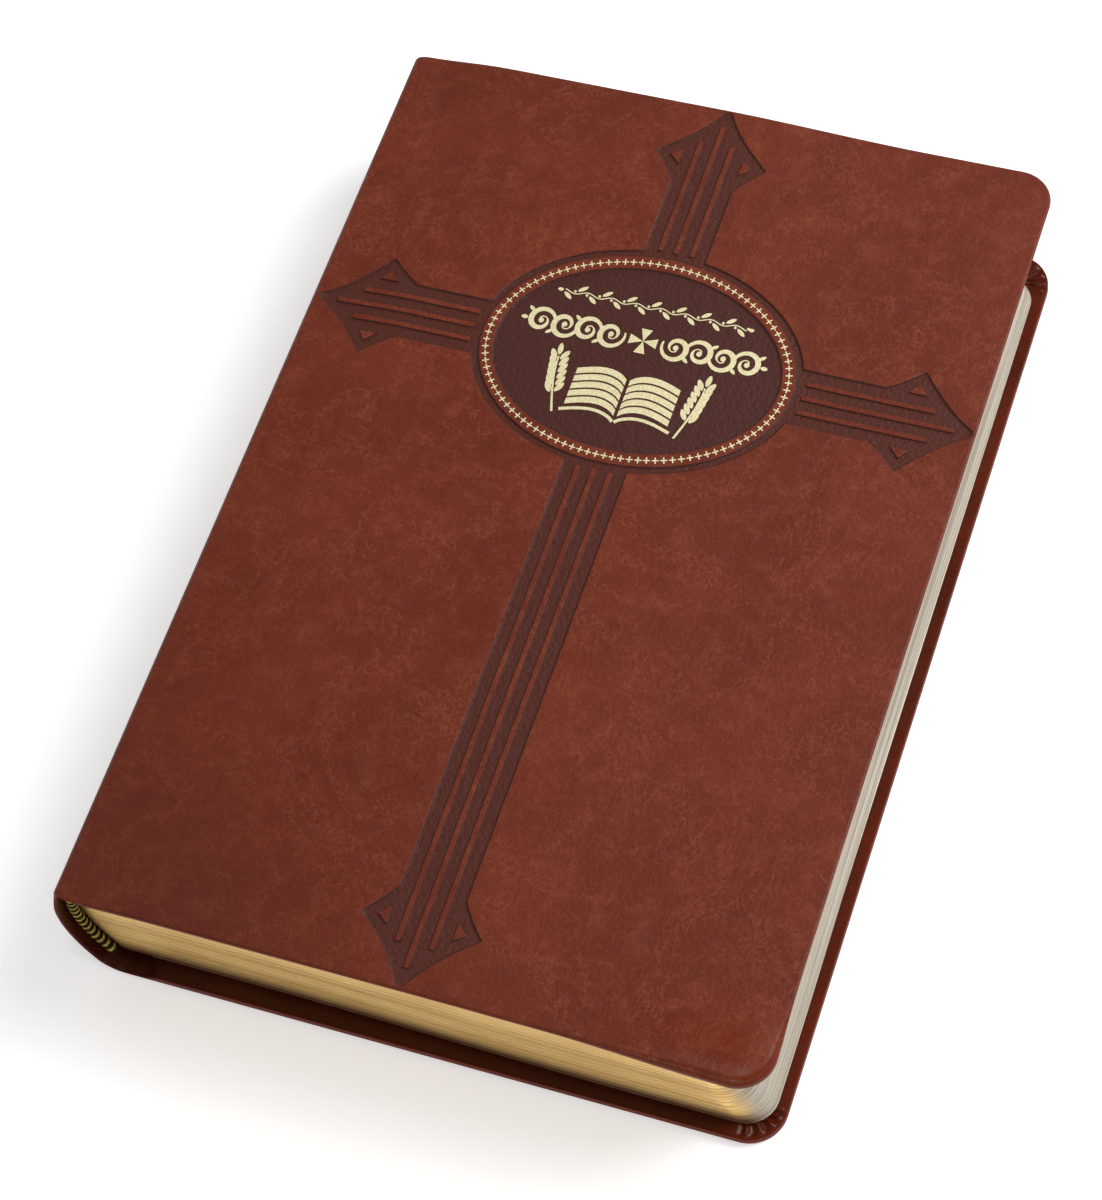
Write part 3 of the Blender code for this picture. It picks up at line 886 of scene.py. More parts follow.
def settle_cover(arr, front):
    """Turns a cover's depths into heights and gives it the shape in which it really lies."""
    if front:
        arr[:, 2] = THICK - arr[:, 2] + lift(arr[:, 0], arr[:, 1], THICK)
        arr[:, 2] -= corner_curl(arr[:, 0], arr[:, 1])
        soften(arr)
    else:
        along = (arr[:, 0] - X_BACK_SEAM) / (X_FORE - X_BACK_SEAM)
        arr[:, 0] -= BACK_SKEW * along * (arr[:, 1] + HALF_H) / (2 * HALF_H)


def end_shade(arr):
    """Painted shade: how much darker the turned-in leather is at the head and the tail than at the fore-edge."""
    at_end = smooth((np.abs(arr[:, 1]) - HALF_H + TURN_IN_W) / (4 * MM))
    off_fore = 1 - smooth((arr[:, 0] - X_FORE + 16 * MM) / (8 * MM))
    return 0.65 * at_end * off_fore


def face_grid(ring, loops, guard):
    """Points to fill a face with: none close to the given outlines."""
    low = (min(p.x for p in ring), -HALF_H)
    plain = grid_points(low, (X_FORE, HALF_H), 2.5 * MM)
    plain = plain[in_polygon(plain, guard)]
    return away_from(plain, [stepped(loop, 0.7 * MM) for loop in [guard, *loops]], 0.8 * MM)


def outer_face(ring, front):
    """Triangles of the outer face, with each point's marks and depth below the plain surface."""
    guard = offset_loop(ring, -0.35 * MM)
    pattern = Pressing() if front else None
    loops = [guard] + (pattern.loops if front else [])
    flat, faces = triangulated(ring, loops, face_grid(ring, loops[1:], guard))
    marks = np.zeros((len(flat), 4))
    depth = np.zeros(len(flat))
    if front:
        first = len(ring) + len(guard)
        rest = first + len(pattern.values)
        values = np.zeros((len(flat), 3))
        values[:first] = pattern.at(flat[:first])
        values[first:rest] = pattern.values
        values[rest:] = pattern.at(flat[rest:])
        x, y = flat[:, 0], flat[:, 1]
        inset = front_inset(x, y) - 0.5 * MM
        depth = values[:, 0] * PRESS_DEPTH * smooth(inset / (0.7 * MM)) - wave(x, y)
        marks[:, 0], marks[:, 1] = values[:, 1], values[:, 2]
        marks[:, 2] = 1 - smooth((oval_share(x, y, OVAL_FIELD) - 1.02) / 0.06)
    return flat, faces, [tuple(m) for m in marks], depth


def inner_face(ring, x_seam, panel_x):
    """Triangles of the inner face, with the step at the turned-in margin and the pleated corners."""
    guard = offset_loop(ring, -0.35 * MM)
    window = window_outline(x_seam)
    step = [Vector((p.x - (0.35 * MM if p.x > x_seam + MM else 0), p.y * 0.9965)) for p in window]
    loops = [guard, window, step]
    fine = corner_points()
    plain = away_from(face_grid(ring, loops[1:], guard), [fine], 0.8 * MM)
    fine = away_from(fine, [stepped(guard, 0.5 * MM)], 0.2 * MM)
    fine = fine[in_polygon(fine, guard)]
    flat, faces = triangulated(ring, loops, np.concatenate([plain, fine]))
    depth = inner_depth(flat, panel_x, window, len(ring) + len(guard))
    return flat, faces, depth + pleats(flat[:, 0], flat[:, 1])


def tip_mark(x, y, nx):
    """Whether a rim point lies at the end of an arm, where the pressed colour runs over the edge."""
    off = abs(y - CROSS.y) if nx > 0.9 else abs(x - CROSS.x)
    return float(1 - smooth((off - 0.3 * MM) / (0.3 * MM)))


def window_outline(x_seam):
    """Inner edge of the turned-in leather, anticlockwise, open towards the spine."""
    x1, y1, radius = X_FORE - TURN_IN_W, HALF_H - TURN_IN_W, 3.0 * MM
    x0 = x_seam + 0.4 * MM
    turns = [math.radians(15 * i) for i in range(7)]
    tail = [(x1 - radius + radius * math.sin(a), -y1 + radius - radius * math.cos(a)) for a in turns]
    head = [(x, -y) for x, y in reversed(tail)]
    return stepped([Vector(p) for p in [(x0, -y1), *tail, *head, (x0, y1)]], 4.0 * MM)


def inner_depth(points, panel_x, window, first):
    """Depth of a cover's inner face: thin at the joint, a step down inside the turned-in margin."""
    x, y = points[:, 0], points[:, 1]
    ramp = smooth((x - panel_x + 1.0 * MM) / (5.0 * MM))
    lip = joint_thickness(y) + (COVER_T - joint_thickness(y)) * ramp
    board = joint_thickness(y) + (WINDOW_DEPTH - joint_thickness(y)) * ramp
    inside = in_polygon(points, window)
    count = len(window)
    inside[first:first + count] = False
    inside[first + count:first + 2 * count] = True
    return np.where(inside, board, lip)


FRONT_SKIN = cover_skin("front_cover_skin", True)
BACK_SKIN = cover_skin("back_cover_skin", False)


# ------------------------------------------------------------------ spine skin


def spine_path():
    """The skin's outer face in XZ, from the front seam over the corner, down and under the book."""
    corner_z = THICK - TOP_CORNER_R
    path = [(X_FRONT_SEAM, THICK)]
    for i in range(1, 9):
        a = math.radians(90 + 9 * i)
        path.append((X_FRONT_SEAM + TOP_CORNER_R * math.cos(a), corner_z + TOP_CORNER_R * math.sin(a)))
    steps = 44
    top_z = corner_z - 0.4 * MM
    for i in range(steps + 1):
        z = top_z + (SHOULDER_Z - top_z) * i / steps
        path.append((spine_x(z), z))
    lean = math.atan(2 * BULGE * (BULGE_Z - SHOULDER_Z))
    centre_x = spine_x(SHOULDER_Z) + SHOULDER_R * math.cos(lean)
    drop = SHOULDER_Z / (1 - math.sin(lean))
    for i in range(1, 15):
        a = lean + (math.pi / 2 - lean) * i / 14
        z = SHOULDER_Z - drop * (math.sin(a) - math.sin(lean))
        path.append((centre_x - SHOULDER_R * math.cos(a), z))
    for i in range(1, 4):
        path.append((path[-1][0] + (X_BACK_SEAM - path[-1][0]) * i / 3, 0.0))
    return path


def path_normals(path):
    """Inward directions along the path."""
    made = []
    for i in range(len(path)):
        xa, za = path[max(i - 1, 0)]
        xb, zb = path[min(i + 1, len(path) - 1)]
        length = math.hypot(xb - xa, zb - za)
        made.append((-(zb - za) / length, (xb - xa) / length))
    made[0], made[-1] = (0.0, -1.0), (0.0, 1.0)
    return made


def spine_skin(name, path, normals):
    """Sweeps a strip of leather with rolled ends along part of the spine's path."""
    rim = rim_profile(TURNED_T)
    ys = list(np.arange(-HALF_H + 1.6 * MM, HALF_H - 1.5 * MM, 4.0 * MM))
    round_end = [(HALF_H - out, down) for out, down in rim]
    section = [(y, 0.0) for y in ys] + round_end
    section += [(y, float(joint_thickness(y))) for y in reversed(ys)]
    section += [(-y, down) for y, down in reversed(round_end)]
    turned_in = [float(smooth((k - 2) / (len(rim) - 4))) for k in range(len(rim))]
    inner = [0.0] * len(ys) + turned_in + [1.0] * len(ys) + turned_in[::-1]
    coords = []
    count = len(section)
    for (x, z), (nx, nz) in zip(path, normals):
        coords += [(x + nx * d, y, z + nz * d) for y, d in section]
    coords = np.array(coords)
    soften(coords)
    faces = ring_quads(len(path), count)
    faces.append(tuple(range(count)))
    faces.append(tuple(range((len(path) - 1) * count, len(path) * count)))
    made = new_object(name, coords, faces, LEATHER, LEATHER_EDGE)
    turned_face = [0.25 * MM < depth < TURNED_T and abs(y) > ys[-1] for y, depth in section]
    for i in range((len(path) - 1) * count):
        made.data.polygons[i].material_index = int(turned_face[i % count])
    set_value(made, "inner", inner * len(path))
    # Painted shade: darkens the spine's turned-in leather, for the shadow in its hollow
    set_value(made, "field", [0.8] * (count * len(path)))
    finish_mesh(made, 70)
    return made


def spine_skins():
    path = spine_path()
    normals = path_normals(path)
    cut = next(i for i, (x, z) in enumerate(path) if z < SPINE_SEAM_Z)
    upper = spine_skin("spine_skin_upper", path[:cut + 1], normals[:cut + 1])
    lower = spine_skin("spine_skin_lower", path[cut:], normals[cut:])
    return upper, lower


SPINE_UPPER, SPINE_LOWER = spine_skins()


# ------------------------------------------------------------------ text block


def leaf_bundle(number):
    """One section as a stack of leaf groups whose cut edges are not quite in line."""
    low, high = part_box(f"signature_{number:02d}")
    z0 = low[2] - (0.0 if number == SECTIONS // 2 + 1 else SECTION_SWELL)
    z1 = high[2] + (0.0 if number == SECTIONS // 2 else SECTION_SWELL)
    rng = random.Random(number)
    outline = bundle_outline()
    rows = []
    for g in range(LEAF_GROUPS):
        inset = rng.uniform(-0.03, 0.045) * MM
        a, b = (z0 + (z1 - z0) * k / LEAF_GROUPS for k in (g, g + 1))
        for z, more in ((a, GROUP_INSET), (a + GROUP_LIP, 0.0), (b - GROUP_LIP, 0.0)):
            rows.append((z, inset + more))
    rows.append((z1, GROUP_INSET))
    coords, gilt, gilt_shade = [], [], []
    for z, inset in rows:
        # Painted reflection of the dark cover margin in the gilt, low down
        low_reflection = float(1 - smooth((z - BLOCK_FOOT - 0.6 * MM) / (4.4 * MM)))
        for x, y, nx, ny, gold in outline:
            if nx < 0:
                across = fold_x(z) + FOLD_HOLLOW * (2 * (z - z0) / (z1 - z0) - 1) ** 2
            else:
                across = x + fold_x(z) - max(nx, 0) * inset
            coords.append((across, PAGE_MIDDLE + y - ny * inset, z))
            gilt.append(gold)
            # Painted shade on the gilt beside the fold
            near = 0.8 * float(1 - smooth((x - 0.3 * MM) / (1.7 * MM)))
            gilt_shade.append(max(near, low_reflection))
    count = len(outline)
    faces = ring_quads(len(rows), count)
    sides = len(faces)
    for first in (0, (len(rows) - 1) * count):
        more, cap = page_face(coords[first:first + count])
        places = [*range(first, first + count), *range(len(coords), len(coords) + len(more))]
        faces += [tuple(places[i] for i in face) for face in cap]
        coords += more
    gilt += [0.0] * (len(coords) - len(gilt))
    gilt_shade += [0.0] * (len(coords) - len(gilt_shade))
    arr = np.array(coords)
    loosen(arr)
    made = new_object(f"pages_{number:02d}", arr, faces, PAGE_EDGE, PAGE_PAPER)
    made.data.polygons.foreach_set("material_index", [0] * sides + [1] * (len(faces) - sides))
    set_value(made, "gilt", gilt)
    set_value(made, "gilt_shade", gilt_shade)
    finish_mesh(made, 30)
    return made


def page_face(rim):
    """The flat face inside a level rim: further points on it, and its triangles."""
    z = rim[0][2]
    edge = np.array([c[:2] for c in rim])
    inside = grid_points(edge.min(axis=0), edge.max(axis=0), 7 * MM)
    rim_marks = stepped([Vector(p) for p in edge], 2 * MM)
    inside = away_from(inside[in_polygon(inside, edge)], [rim_marks], 2.5 * MM)
    flat, faces = triangulated(edge, [], inside)
    return [(x, y, z) for x, y in flat[len(rim):]], faces


def loosen(arr):
    """Moves points of the text block to where its leaves really lie."""
    dx, dy = spread(arr[:, 0], arr[:, 1])
    arr[:, 2] += lift(arr[:, 0], arr[:, 1], arr[:, 2])
    arr[:, 0] += dx
    arr[:, 1] += dy


def bundle_outline():
    """Outline of a leaf measured from its fold, with outward directions and how gilt each point is."""
    width = X_PAGES - fold_x(BLOCK_FOOT)
    ys = np.linspace(-HALF_PAGE, HALF_PAGE, 24)
    xs = [0.0, 0.8 * MM, 1.6 * MM, 2.4 * MM, 3.4 * MM, *np.linspace(6 * MM, width - PAGE_CORNER_R, 18)]
    made = [(x, -HALF_PAGE, -1.0 if i == 0 else 0.0, -1.0, 1.0) for i, x in enumerate(xs)]
    for i in range(1, 13):
        a = math.radians(7.5 * i)
        x = width - PAGE_CORNER_R + PAGE_CORNER_R * math.sin(a)
        y = -HALF_PAGE + PAGE_CORNER_R - PAGE_CORNER_R * math.cos(a)
        made.append((x, y, math.sin(a), -math.cos(a), float(1 - smooth((i - 2) / 7))))
    inside = [y for y in ys if abs(y) < HALF_PAGE - PAGE_CORNER_R - MM]
    made += [(width, y, 1.0, 0.0, 0.0) for y in inside]
    half = [p for p in made if p[1] < -HALF_PAGE + PAGE_CORNER_R + 0.5 * MM]
    made += [(x, -y, nx, -ny, gold) for x, y, nx, ny, gold in reversed(half)]
    made += [(0.0, -y, -1.0, 0.0, 0.0) for y in ys[1:-1]]
    return made


BUNDLES = {n: leaf_bundle(n) for n in range(1, SECTIONS + 1)}


def centre_fold():
    """The folded leaf in the middle of the book, which closes the gutter when it lies open."""
    z = MIDDLE - 0.05 * MM
    half_t = 0.02 * MM
    x_turn = JOINTS["book_opening"]["pos_m"][0] + 0.8 * MM
    xs = [x_turn + 16 * MM * (1 - k / 20) for k in range(21)]
    path = [(x, z - half_t) for x in xs[12:]]
    turns = np.linspace(0, math.pi, 9)[1:-1]
    path += [(x_turn - half_t * math.sin(a), z - half_t * math.cos(a)) for a in turns]
    path += [(x, z + half_t) for x in reversed(xs)]
    ys = PAGE_MIDDLE + np.linspace(-HALF_PAGE + 0.2 * MM, HALF_PAGE - 0.2 * MM, 16)
    coords = [(x, y, v) for x, v in path for y in ys]
    count = len(ys)
    faces = [(i * count + j, i * count + j + 1, (i + 1) * count + j + 1, (i + 1) * count + j)
             for i in range(len(path) - 1) for j in range(count - 1)]
    made = new_object("centre_fold", coords, faces, PAGE_PAPER)
    thicken = made.modifiers.new("thickness", "SOLIDIFY")
    thicken.thickness = 0.008 * MM
    keep_rest(made)
    return made


CENTRE_FOLD = centre_fold()


# ------------------------------------------------------------------ boards, endpapers, inside the spine


def cut(body, place, normal, **cleared):
    """Cuts a bmesh along a plane and gives the cut's edges. Nothing is taken away unless asked for."""
    everything = body.verts[:] + body.edges[:] + body.faces[:]
    made = bmesh.ops.bisect_plane(
        body, geom=everything, plane_co=place, plane_no=normal, dist=1e-7, **cleared
    )
    return [g for g in made["geom_cut"] if isinstance(g, bmesh.types.BMEdge)]


def node_copy(node):
    body = bmesh.new()
    body.from_mesh(frame["nodes"][node].data)
    return body


def loose_copy(node, name, finish, leaf=False):
    """A flat piece of the book, cut finely enough to follow the front cover or the leaves."""
    body = node_copy(node)
    for d in range(4, 148, 6):
        cut(body, (X_FORE - d * MM, 0, 0), (1, 0, 0))
    for d in range(4, 60, 4):
        cut(body, (0, -HALF_H + d * MM, 0), (0, 1, 0))
    arr = np.array([tuple(v.co) for v in body.verts])
    dx, dy = spread(arr[:, 0], arr[:, 1])
    arr[:, 2] += lift(arr[:, 0], arr[:, 1], np.where(arr[:, 2] > MIDDLE, THICK, arr[:, 2]))
    if leaf:
        arr[:, 0] += dx
        arr[:, 1] += dy
    for vertex, place in zip(body.verts, arr):
        vertex.co = place
    if leaf:
        for face in body.faces:
            face.material_index = 0 if abs(face.normal.z) > 0.5 else 1
    made = object_from(body, name, finish, PAGE_EDGE)
    if leaf:
        set_value(made, "gilt", 1 - smooth((arr[:, 0] - X_PAGES + 8 * MM) / (5 * MM)))
        # Painted shade, evenly over the free leaf's gilt edges
        set_value(made, "gilt_shade", np.full(len(arr), 0.6))
    keep_rest(made)
    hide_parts(node)
    return made


def half_copy(node, name, finish, upper):
    """The part of a spine piece that belongs to the front or the back half of the book."""
    body = node_copy(node)
    bmesh.ops.remove_doubles(body, verts=body.verts, dist=1e-7)
    level = MIDDLE + (0.25 if upper else -0.35) * MM
    rim = cut(body, (0, 0, level), (0, 0, 1), clear_inner=upper, clear_outer=not upper)
    bmesh.ops.edgeloop_fill(body, edges=rim)
    piece = object_from(body, name, finish)
    piece.data.shade_smooth()
    piece.data.set_sharp_from_angle(angle=math.radians(35))
    keep_rest(piece)
    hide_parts(node)
    return piece


def dress(node, finish):
    """Gives a CAD node that is shown a material of its own. It never leaves its rest place."""
    made = frame["nodes"][node]
    keep_rest(made)
    made.data.materials.clear()
    made.data.materials.append(finish)


FRONT_FLATS = [
    loose_copy("front_cover_board", "front_board", BOARD),
    loose_copy("front_pastedown", "front_lining", ENDPAPER),
]
FRONT_LEAF = loose_copy("front_flyleaf", "front_free_leaf", ENDPAPER, leaf=True)
BACK_LEAF = loose_copy("back_flyleaf", "back_free_leaf", ENDPAPER, leaf=True)

INSIDE = {"spine_inlay": CARD, "spine_liner": KRAFT, "mull_cloth": GAUZE}
INSIDE.update({f"sewing_thread_{i}": LINEN for i in range(1, 7)})


# ------------------------------------------------------------------ headbands


def wrap_tube(centre, along, outward, side, coords, faces):
    """One turn of thread round the bead, as a bent tube."""
    radius, thread = BEAD_R - BAND_THREAD_R, BAND_THREAD_R
    steps, sides = 14, 6
    first = len(coords)
    for i in range(steps + 1):
        a = math.radians(-150 + 300 * i / steps)
        spoke = outward * math.cos(a) + side * math.sin(a)
        middle = centre + spoke * radius
        for j in range(sides):
            b = 2 * math.pi * j / sides
            point = middle + spoke * thread * math.cos(b) + along * thread * 0.95 * math.sin(b)
            coords.append(tuple(point))
    faces += ring_quads(steps + 1, sides, first)
    faces.append(tuple(first + j for j in range(sides)))
    faces.append(tuple(first + steps * sides + j for j in range(sides)))


def headband(end, upper):
    """Half of a headband: a cord wrapped in turns of gold and black thread."""
    low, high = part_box(f"headband_{end}")
    sign = 1 if end == "head" else -1
    bead_y = high[1] - BEAD_R if end == "head" else low[1] + BEAD_R
    z0, z1 = low[2] + 0.5 * MM, high[2] - 0.3 * MM
    turns = round((z1 - z0) / (BAND_THREAD_R * 2.05))
    coords, faces, band = [], [], []
    for i in range(turns):
        z = z0 + (z1 - z0) * (i + 0.5) / turns
        if (z > MIDDLE) != upper:
            continue
        slope = 2 * FOLD_BULGE * (z - BULGE_Z)
        along = Vector((slope, 0, 1)).normalized()
        side = Vector((0, sign, 0)).cross(along).normalized()
        before = len(faces)
        tilt = (along + Vector((0, 0.12, 0))).normalized()
        centre = Vector((fold_x(z) - BEAD_OUT, bead_y - sign * BEAD_IN, z))
        wrap_tube(centre, tilt, Vector((0, sign, 0)), side, coords, faces)
        band += [0 if i % 5 in (2, 3) else 1] * (len(faces) - before)
    name = f"headband_{end}_{'front' if upper else 'back'}"
    made = new_object(name, coords, faces, BAND_GOLD, BAND_BLACK)
    made.data.polygons.foreach_set("material_index", band)
    finish_mesh(made, 60)
    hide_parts(f"headband_{end}")
    return made


# ------------------------------------------------------------------ gold foil

# Thickness of the foil, and how much each shape lies above the one before it
FOIL_T = 0.05 * MM
FOIL_STEP = 0.00015 * MM

# Heights of the ornament's rows above the oval's centre, in millimetres
VINE_V = 13.55
SCROLL_V = 5.0


class Foil:
    """Flat shapes stamped on the cover, each a polygon given in millimetres from the oval's centre."""

    def __init__(self):
        self.shapes = []

    def polygon(self, points):
        self.shapes.append([Vector(p) * MM + CROSS for p in points])

    def blob(self, u, v, length, width, degrees, count=14):
        """An almond leaf or an oval dot."""
        a = math.radians(degrees)
        points = []
        for i in range(count):
            t = 2 * math.pi * i / count
            p, q = length / 2 * math.cos(t), width / 2 * math.sin(t) * abs(math.sin(t)) ** 0.35
            points.append((u + p * math.cos(a) - q * math.sin(a), v + p * math.sin(a) + q * math.cos(a)))
        self.polygon(points)

    def stroke(self, points, widths):
        """A line of changing width, as one polygon with rounded ends."""
        left, right = [], []
        for i, p in enumerate(points):
            a, b = Vector(points[max(i - 1, 0)]), Vector(points[min(i + 1, len(points) - 1)])
            along = (b - a).normalized()
            across = Vector((-along.y, along.x)) * widths[i] / 2
            left.append(Vector(p) + across)
            right.append(Vector(p) - across)
        self.polygon([tuple(p) for p in right + left[::-1]])

    def build(self, name, top):
        body = bmesh.new()
        for k, shape in enumerate(self.shapes):
            low = top - FOIL_T + k * FOIL_STEP
            verts = [body.verts.new((p.x, p.y, low)) for p in shape]
            face = body.faces.new(verts)
            made = bmesh.ops.extrude_face_region(body, geom=[face])
            raised = [g for g in made["geom"] if isinstance(g, bmesh.types.BMVert)]
            bmesh.ops.translate(body, verts=raised, vec=(0, 0, FOIL_T))
        bmesh.ops.recalc_face_normals(body, faces=body.faces)
        for vertex in body.verts:
            x, y, z = vertex.co
            vertex.co.z = z + float(lift(x, y, THICK) + wave(x, y))
        made = object_from(body, name, FOIL)
        keep_rest(made)
        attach(made, "front_cover")
        return made


def ring_of_crosses(foil):
    """A hundred little crosses set evenly round the band."""
    a, b = (v / MM for v in OVAL_FOIL)
    fine = 4000
    points = [Vector((a * math.cos(t), b * math.sin(t))) for t in np.linspace(0, 2 * math.pi, fine + 1)]
    lengths = np.cumsum([0.0] + [(q - p).length for p, q in zip(points, points[1:])])
    count = 100
    arm, half, reach = 0.74, 0.145, 0.76
    for k in range(count):
        i = int(np.searchsorted(lengths, lengths[-1] * (k + 0.5) / count))
        along = (points[i + 1] - points[i - 1]).normalized()
        out = Vector((along.y, -along.x))
        plus = [(-half, -reach), (half, -reach), (half, -half), (arm, -half), (arm, half), (half, half),
                (half, reach), (-half, reach), (-half, half), (-arm, half), (-arm, -half), (-half, -half)]
        foil.polygon([tuple(points[i] + along * p + out * q) for p, q in plus])


def small_vine(foil):
    """The small upper row: a thin wavy stem with slanted leaves."""
    us = np.linspace(-20.6, 20.6, 90)
    foil.stroke([(u, VINE_V + 0.42 * math.sin(u * 1.12)) for u in us], [0.26] * len(us))
    for k in range(15):
        u = -19.6 + 2.8 * k
        up = 1 if k % 2 else -1
        foil.blob(u, VINE_V + up * 1.15, 2.5, 0.95, 38 * up)
        foil.blob(u + 1.25, VINE_V - up * 0.2, 0.62, 0.7, 0)
    for side in (-1, 1):
        foil.blob(side * 21.6, 13.6, 1.3, 0.9, 0)


def scroll_row(foil):
    """The middle row: a small flared cross between running scrolls."""
    for turn in range(4):
        a = math.radians(90 * turn)
        flare = [(0.0, 0.0), (1.15, -0.45), (3.1, -1.25), (3.1, 1.25), (1.15, 0.45)]
        c, s = math.cos(a), math.sin(a)
        foil.polygon([(x * c - y * s, SCROLL_V + x * s + y * c) for x, y in flare])
    for side in (1, -1):
        for k in range(4):
            scroll(foil, side, 7.3 + 5.3 * k, 1 if k % 2 else -1)
        foil.blob(side * 27.0, SCROLL_V, 1.6, 1.0, 0)


def scroll(foil, side, centre, up):
    """One curl of the middle row, with a dot in its middle and a bud beside it."""
    points, widths = [], []
    for i in range(34):
        t = i / 33
        a = math.radians(200 - 520 * t)
        r = 2.75 * (1 - t) ** 0.75 + 0.42
        points.append((side * (centre + r * math.cos(a)), SCROLL_V + up * (r * math.sin(a) * 1.05)))
        widths.append(0.28 + 0.95 * math.sin(math.pi * min(1.0, t * 1.25 + 0.02)) ** 0.8)
    if (side < 0) != (up < 0):
        points.reverse()
        widths.reverse()
    foil.stroke(points, widths)
    foil.blob(side * centre, SCROLL_V - up * 0.1, 1.25, 1.35, 0)
    foil.blob(side * (centre + 2.75), SCROLL_V + up * 2.35, 1.9, 0.85, side * up * 40)


def page_arch(t):
    """How high the open book's pages arch, from the fold to the fore-edge."""
    return 1.9 * math.sin(math.pi * min(1.0, t * 0.92) ** 0.75)


def book_emblem(foil):
    """The large lower row: an open book between two ears of wheat."""
    width = 11.2
    for side in (1, -1):
        for row in range(5):
            steps = [i / 12 for i in range(13)]
            upper = [(side * (0.4 + width * t), -5.2 + page_arch(t) - row * 1.95) for t in steps]
            lower = [(u, v - 1.5) for u, v in upper]
            foil.polygon(upper + lower[::-1] if side < 0 else lower + upper[::-1])
        cover = [(side * (0.2 + (width + 0.9) * t), page_arch(t) - 16.0) for t in np.linspace(0, 1, 16)]
        foil.stroke(cover, [0.75] * len(cover))
        steps = np.linspace(0, 1, 12)
        ear = [Vector((side * (13.6 + 2.9 * math.sin(t * 1.5)), -16.6 + 13.6 * t)) for t in steps]
        foil.stroke([tuple(p) for p in ear], [0.5 - 0.15 * t for t in steps])
        for k in range(6):
            p = ear[4].lerp(ear[-1], k / 5.4)
            foil.blob(p.x + side * 1.25, p.y + 0.9, 3.1, 1.35, 90 - side * 28)
            foil.blob(p.x - side * 1.15, p.y + 1.2, 2.9, 1.25, 90 + side * 30)
        foil.blob(ear[-1].x + side * 0.2, ear[-1].y + 1.9, 3.0, 1.2, 90 - side * 6)


def make_foil():
    ring = Foil()
    ring_of_crosses(ring)
    ring.build("foil_ring", THICK + 0.02 * MM)
    ornament = Foil()
    small_vine(ornament)
    scroll_row(ornament)
    book_emblem(ornament)
    ornament.build("foil_ornament", THICK - PRESS_DEPTH + 0.03 * MM)


make_foil()


# ------------------------------------------------------------------ riding and bending


def place_pieces():
    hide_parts("front_cover_leather")
    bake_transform(FRONT_SKIN)
    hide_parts("back_cover_leather")
    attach(BACK_SKIN, "back_cover")
    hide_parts("spine_leather")
    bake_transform(SPINE_UPPER)
    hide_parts("spine_leather")
    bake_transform(SPINE_LOWER)

    bodies = frame["record"]["behaviour"]["bodies"]
    bodies = {node: body for body, nodes in bodies.items() for node in nodes}
    for number, bundle in BUNDLES.items():
        node = f"signature_{number:02d}"
        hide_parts(node)
        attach(bundle, bodies[node])
    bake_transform(CENTRE_FOLD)

    for piece, word in zip(FRONT_FLATS, ("board", "endpaper")):
        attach(piece, "front_cover")
    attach(FRONT_LEAF, "front_flyleaf")
    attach(BACK_LEAF, "back_half")
    for node, finish in INSIDE.items():
        for upper in (False, True):
            piece = half_copy(node, f"{node}_{'front' if upper else 'back'}_half", finish, upper)
            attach(piece, "front_half" if upper else "back_half")
    for end in ("tail", "head"):
        for upper in (False, True):
            piece = headband(end, upper)
            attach(piece, "front_half" if upper else "back_half")
    for node, finish in (("back_cover_board", BOARD), ("back_pastedown", ENDPAPER)):
        dress(node, finish)


place_pieces()


# ------------------------------------------------------------------ floor, lights and camera

FLOOR = 4.0
FLOOR_GLOW = 0.38

# The sky's strength, from the horizon up to overhead
SKY = {"From Min": 0.15, "From Max": 0.85, "To Min": 0.85, "To Max": 0.22}

# The camera's lens and place, and the directions to its right and behind it
LENS = 101.96
CAMERA_PLACE = (0.18602, -0.32138, 0.63794)
CAMERA_RIGHT = Vector((0.93913, 0.31968, -0.12583))
CAMERA_BACK = Vector((0.26278, -0.43252, 0.86248))

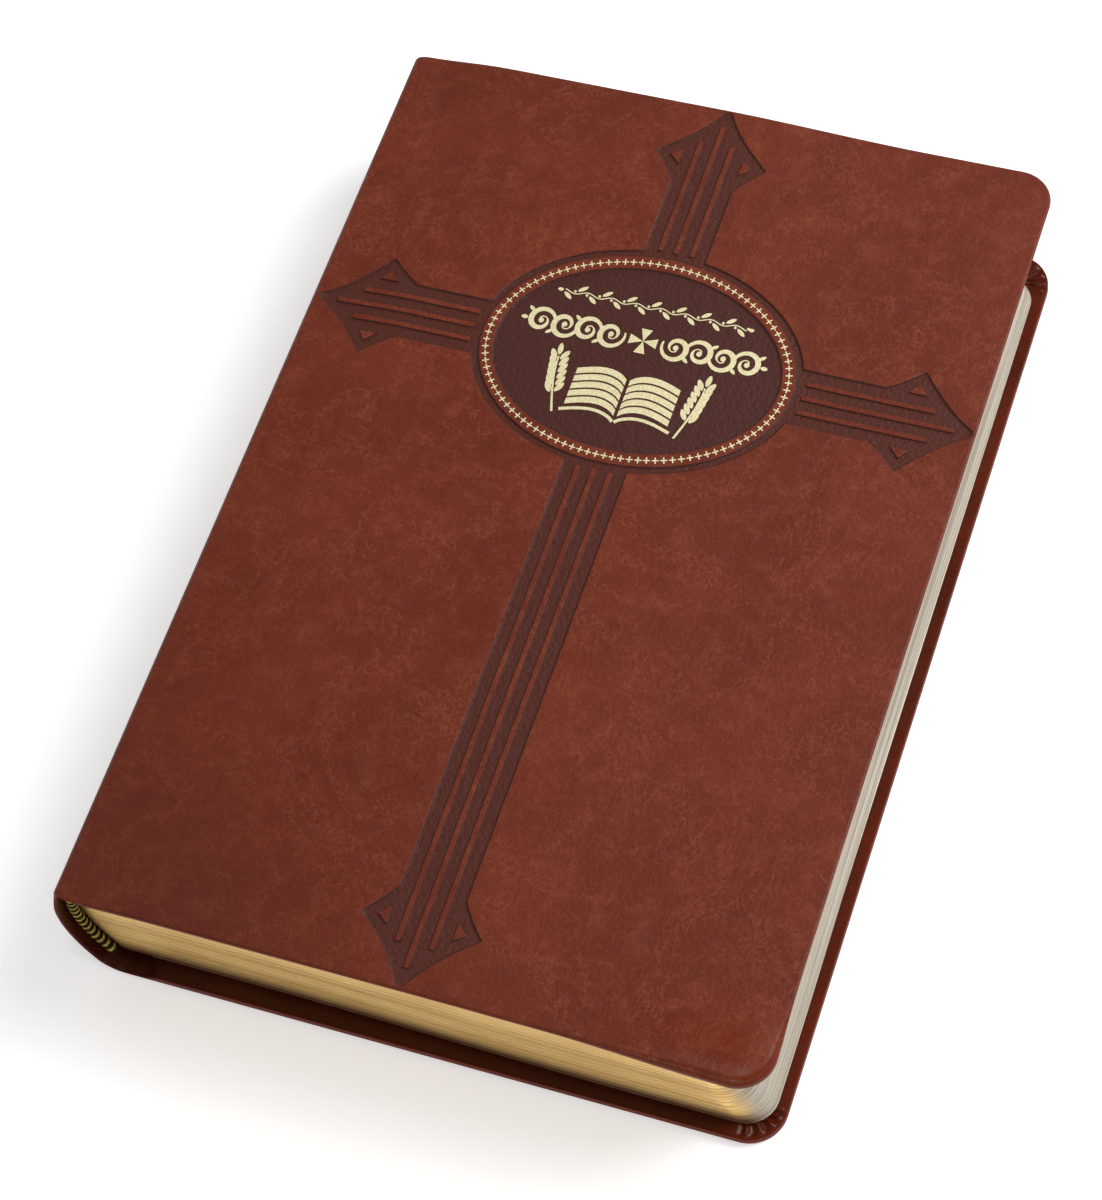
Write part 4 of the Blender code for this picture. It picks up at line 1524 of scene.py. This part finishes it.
# Each light's name, place, target, side and power
LIGHTS = (
    ("key", (0.62, 0.46, 0.80), (0, 0, 0), 0.7, 10.6),
    ("front", (0.15, -1.0, 0.5), (0, 0, 0), 0.2, 0.8),
    ("top", (0.098, -0.178, 0.95), (0.07, -0.105, 0.03), 0.11, 0.7),
)


def floor_material():
    """A pale, faintly lit table, as in a product photograph."""
    n = Nodes("pale_floor")
    white = (1.0, 1.0, 1.0)
    return n.surface(
        Base_Color=(0.9, 0.9, 0.9), Roughness=0.9, Emission_Color=white, Emission_Strength=FLOOR_GLOW
    )


def area_light(name, place, target, size, power):
    data = bpy.data.lights.new(name, "AREA")
    data.size = size
    data.energy = power
    light = linked(name, data)
    light.location = place
    light.rotation_euler = (Vector(target) - Vector(place)).to_track_quat("-Z", "Y").to_euler()


def make_stage():
    corners = [(-FLOOR, -FLOOR, 0), (FLOOR, -FLOOR, 0), (FLOOR, FLOOR, 0), (-FLOOR, FLOOR, 0)]
    floor = new_object("floor", corners, [(0, 1, 2, 3)], floor_material())
    floor.location.z = -0.05 * MM
    world = bpy.data.worlds.new("studio")
    world.use_nodes = True
    nodes, links = world.node_tree.nodes, world.node_tree.links
    background = nodes["Background"]
    way = nodes.new("ShaderNodeTexCoord")
    apart = nodes.new("ShaderNodeSeparateXYZ")
    fall = nodes.new("ShaderNodeMapRange")
    links.new(way.outputs["Generated"], apart.inputs[0])
    links.new(apart.outputs[2], fall.inputs["Value"])
    for key, value in SKY.items():
        fall.inputs[key].default_value = value
    links.new(fall.outputs[0], background.inputs["Strength"])
    background.inputs["Color"].default_value = (1.0, 1.0, 1.0, 1.0)
    bpy.context.scene.world = world
    for light in LIGHTS:
        area_light(*light)


def make_camera():
    data = bpy.data.cameras.new("camera")
    data.sensor_width = 36.0
    data.lens = LENS
    data.clip_start = 0.01
    camera = linked("camera", data)
    back = CAMERA_BACK.normalized()
    right = (CAMERA_RIGHT - back * CAMERA_RIGHT.dot(back)).normalized()
    turn = Matrix((right, back.cross(right), back)).transposed().to_4x4()
    camera.matrix_world = Matrix.Translation(CAMERA_PLACE) @ turn
    bpy.context.scene.camera = camera


make_stage()
make_camera()
bpy.context.scene.view_settings.view_transform = "Standard"
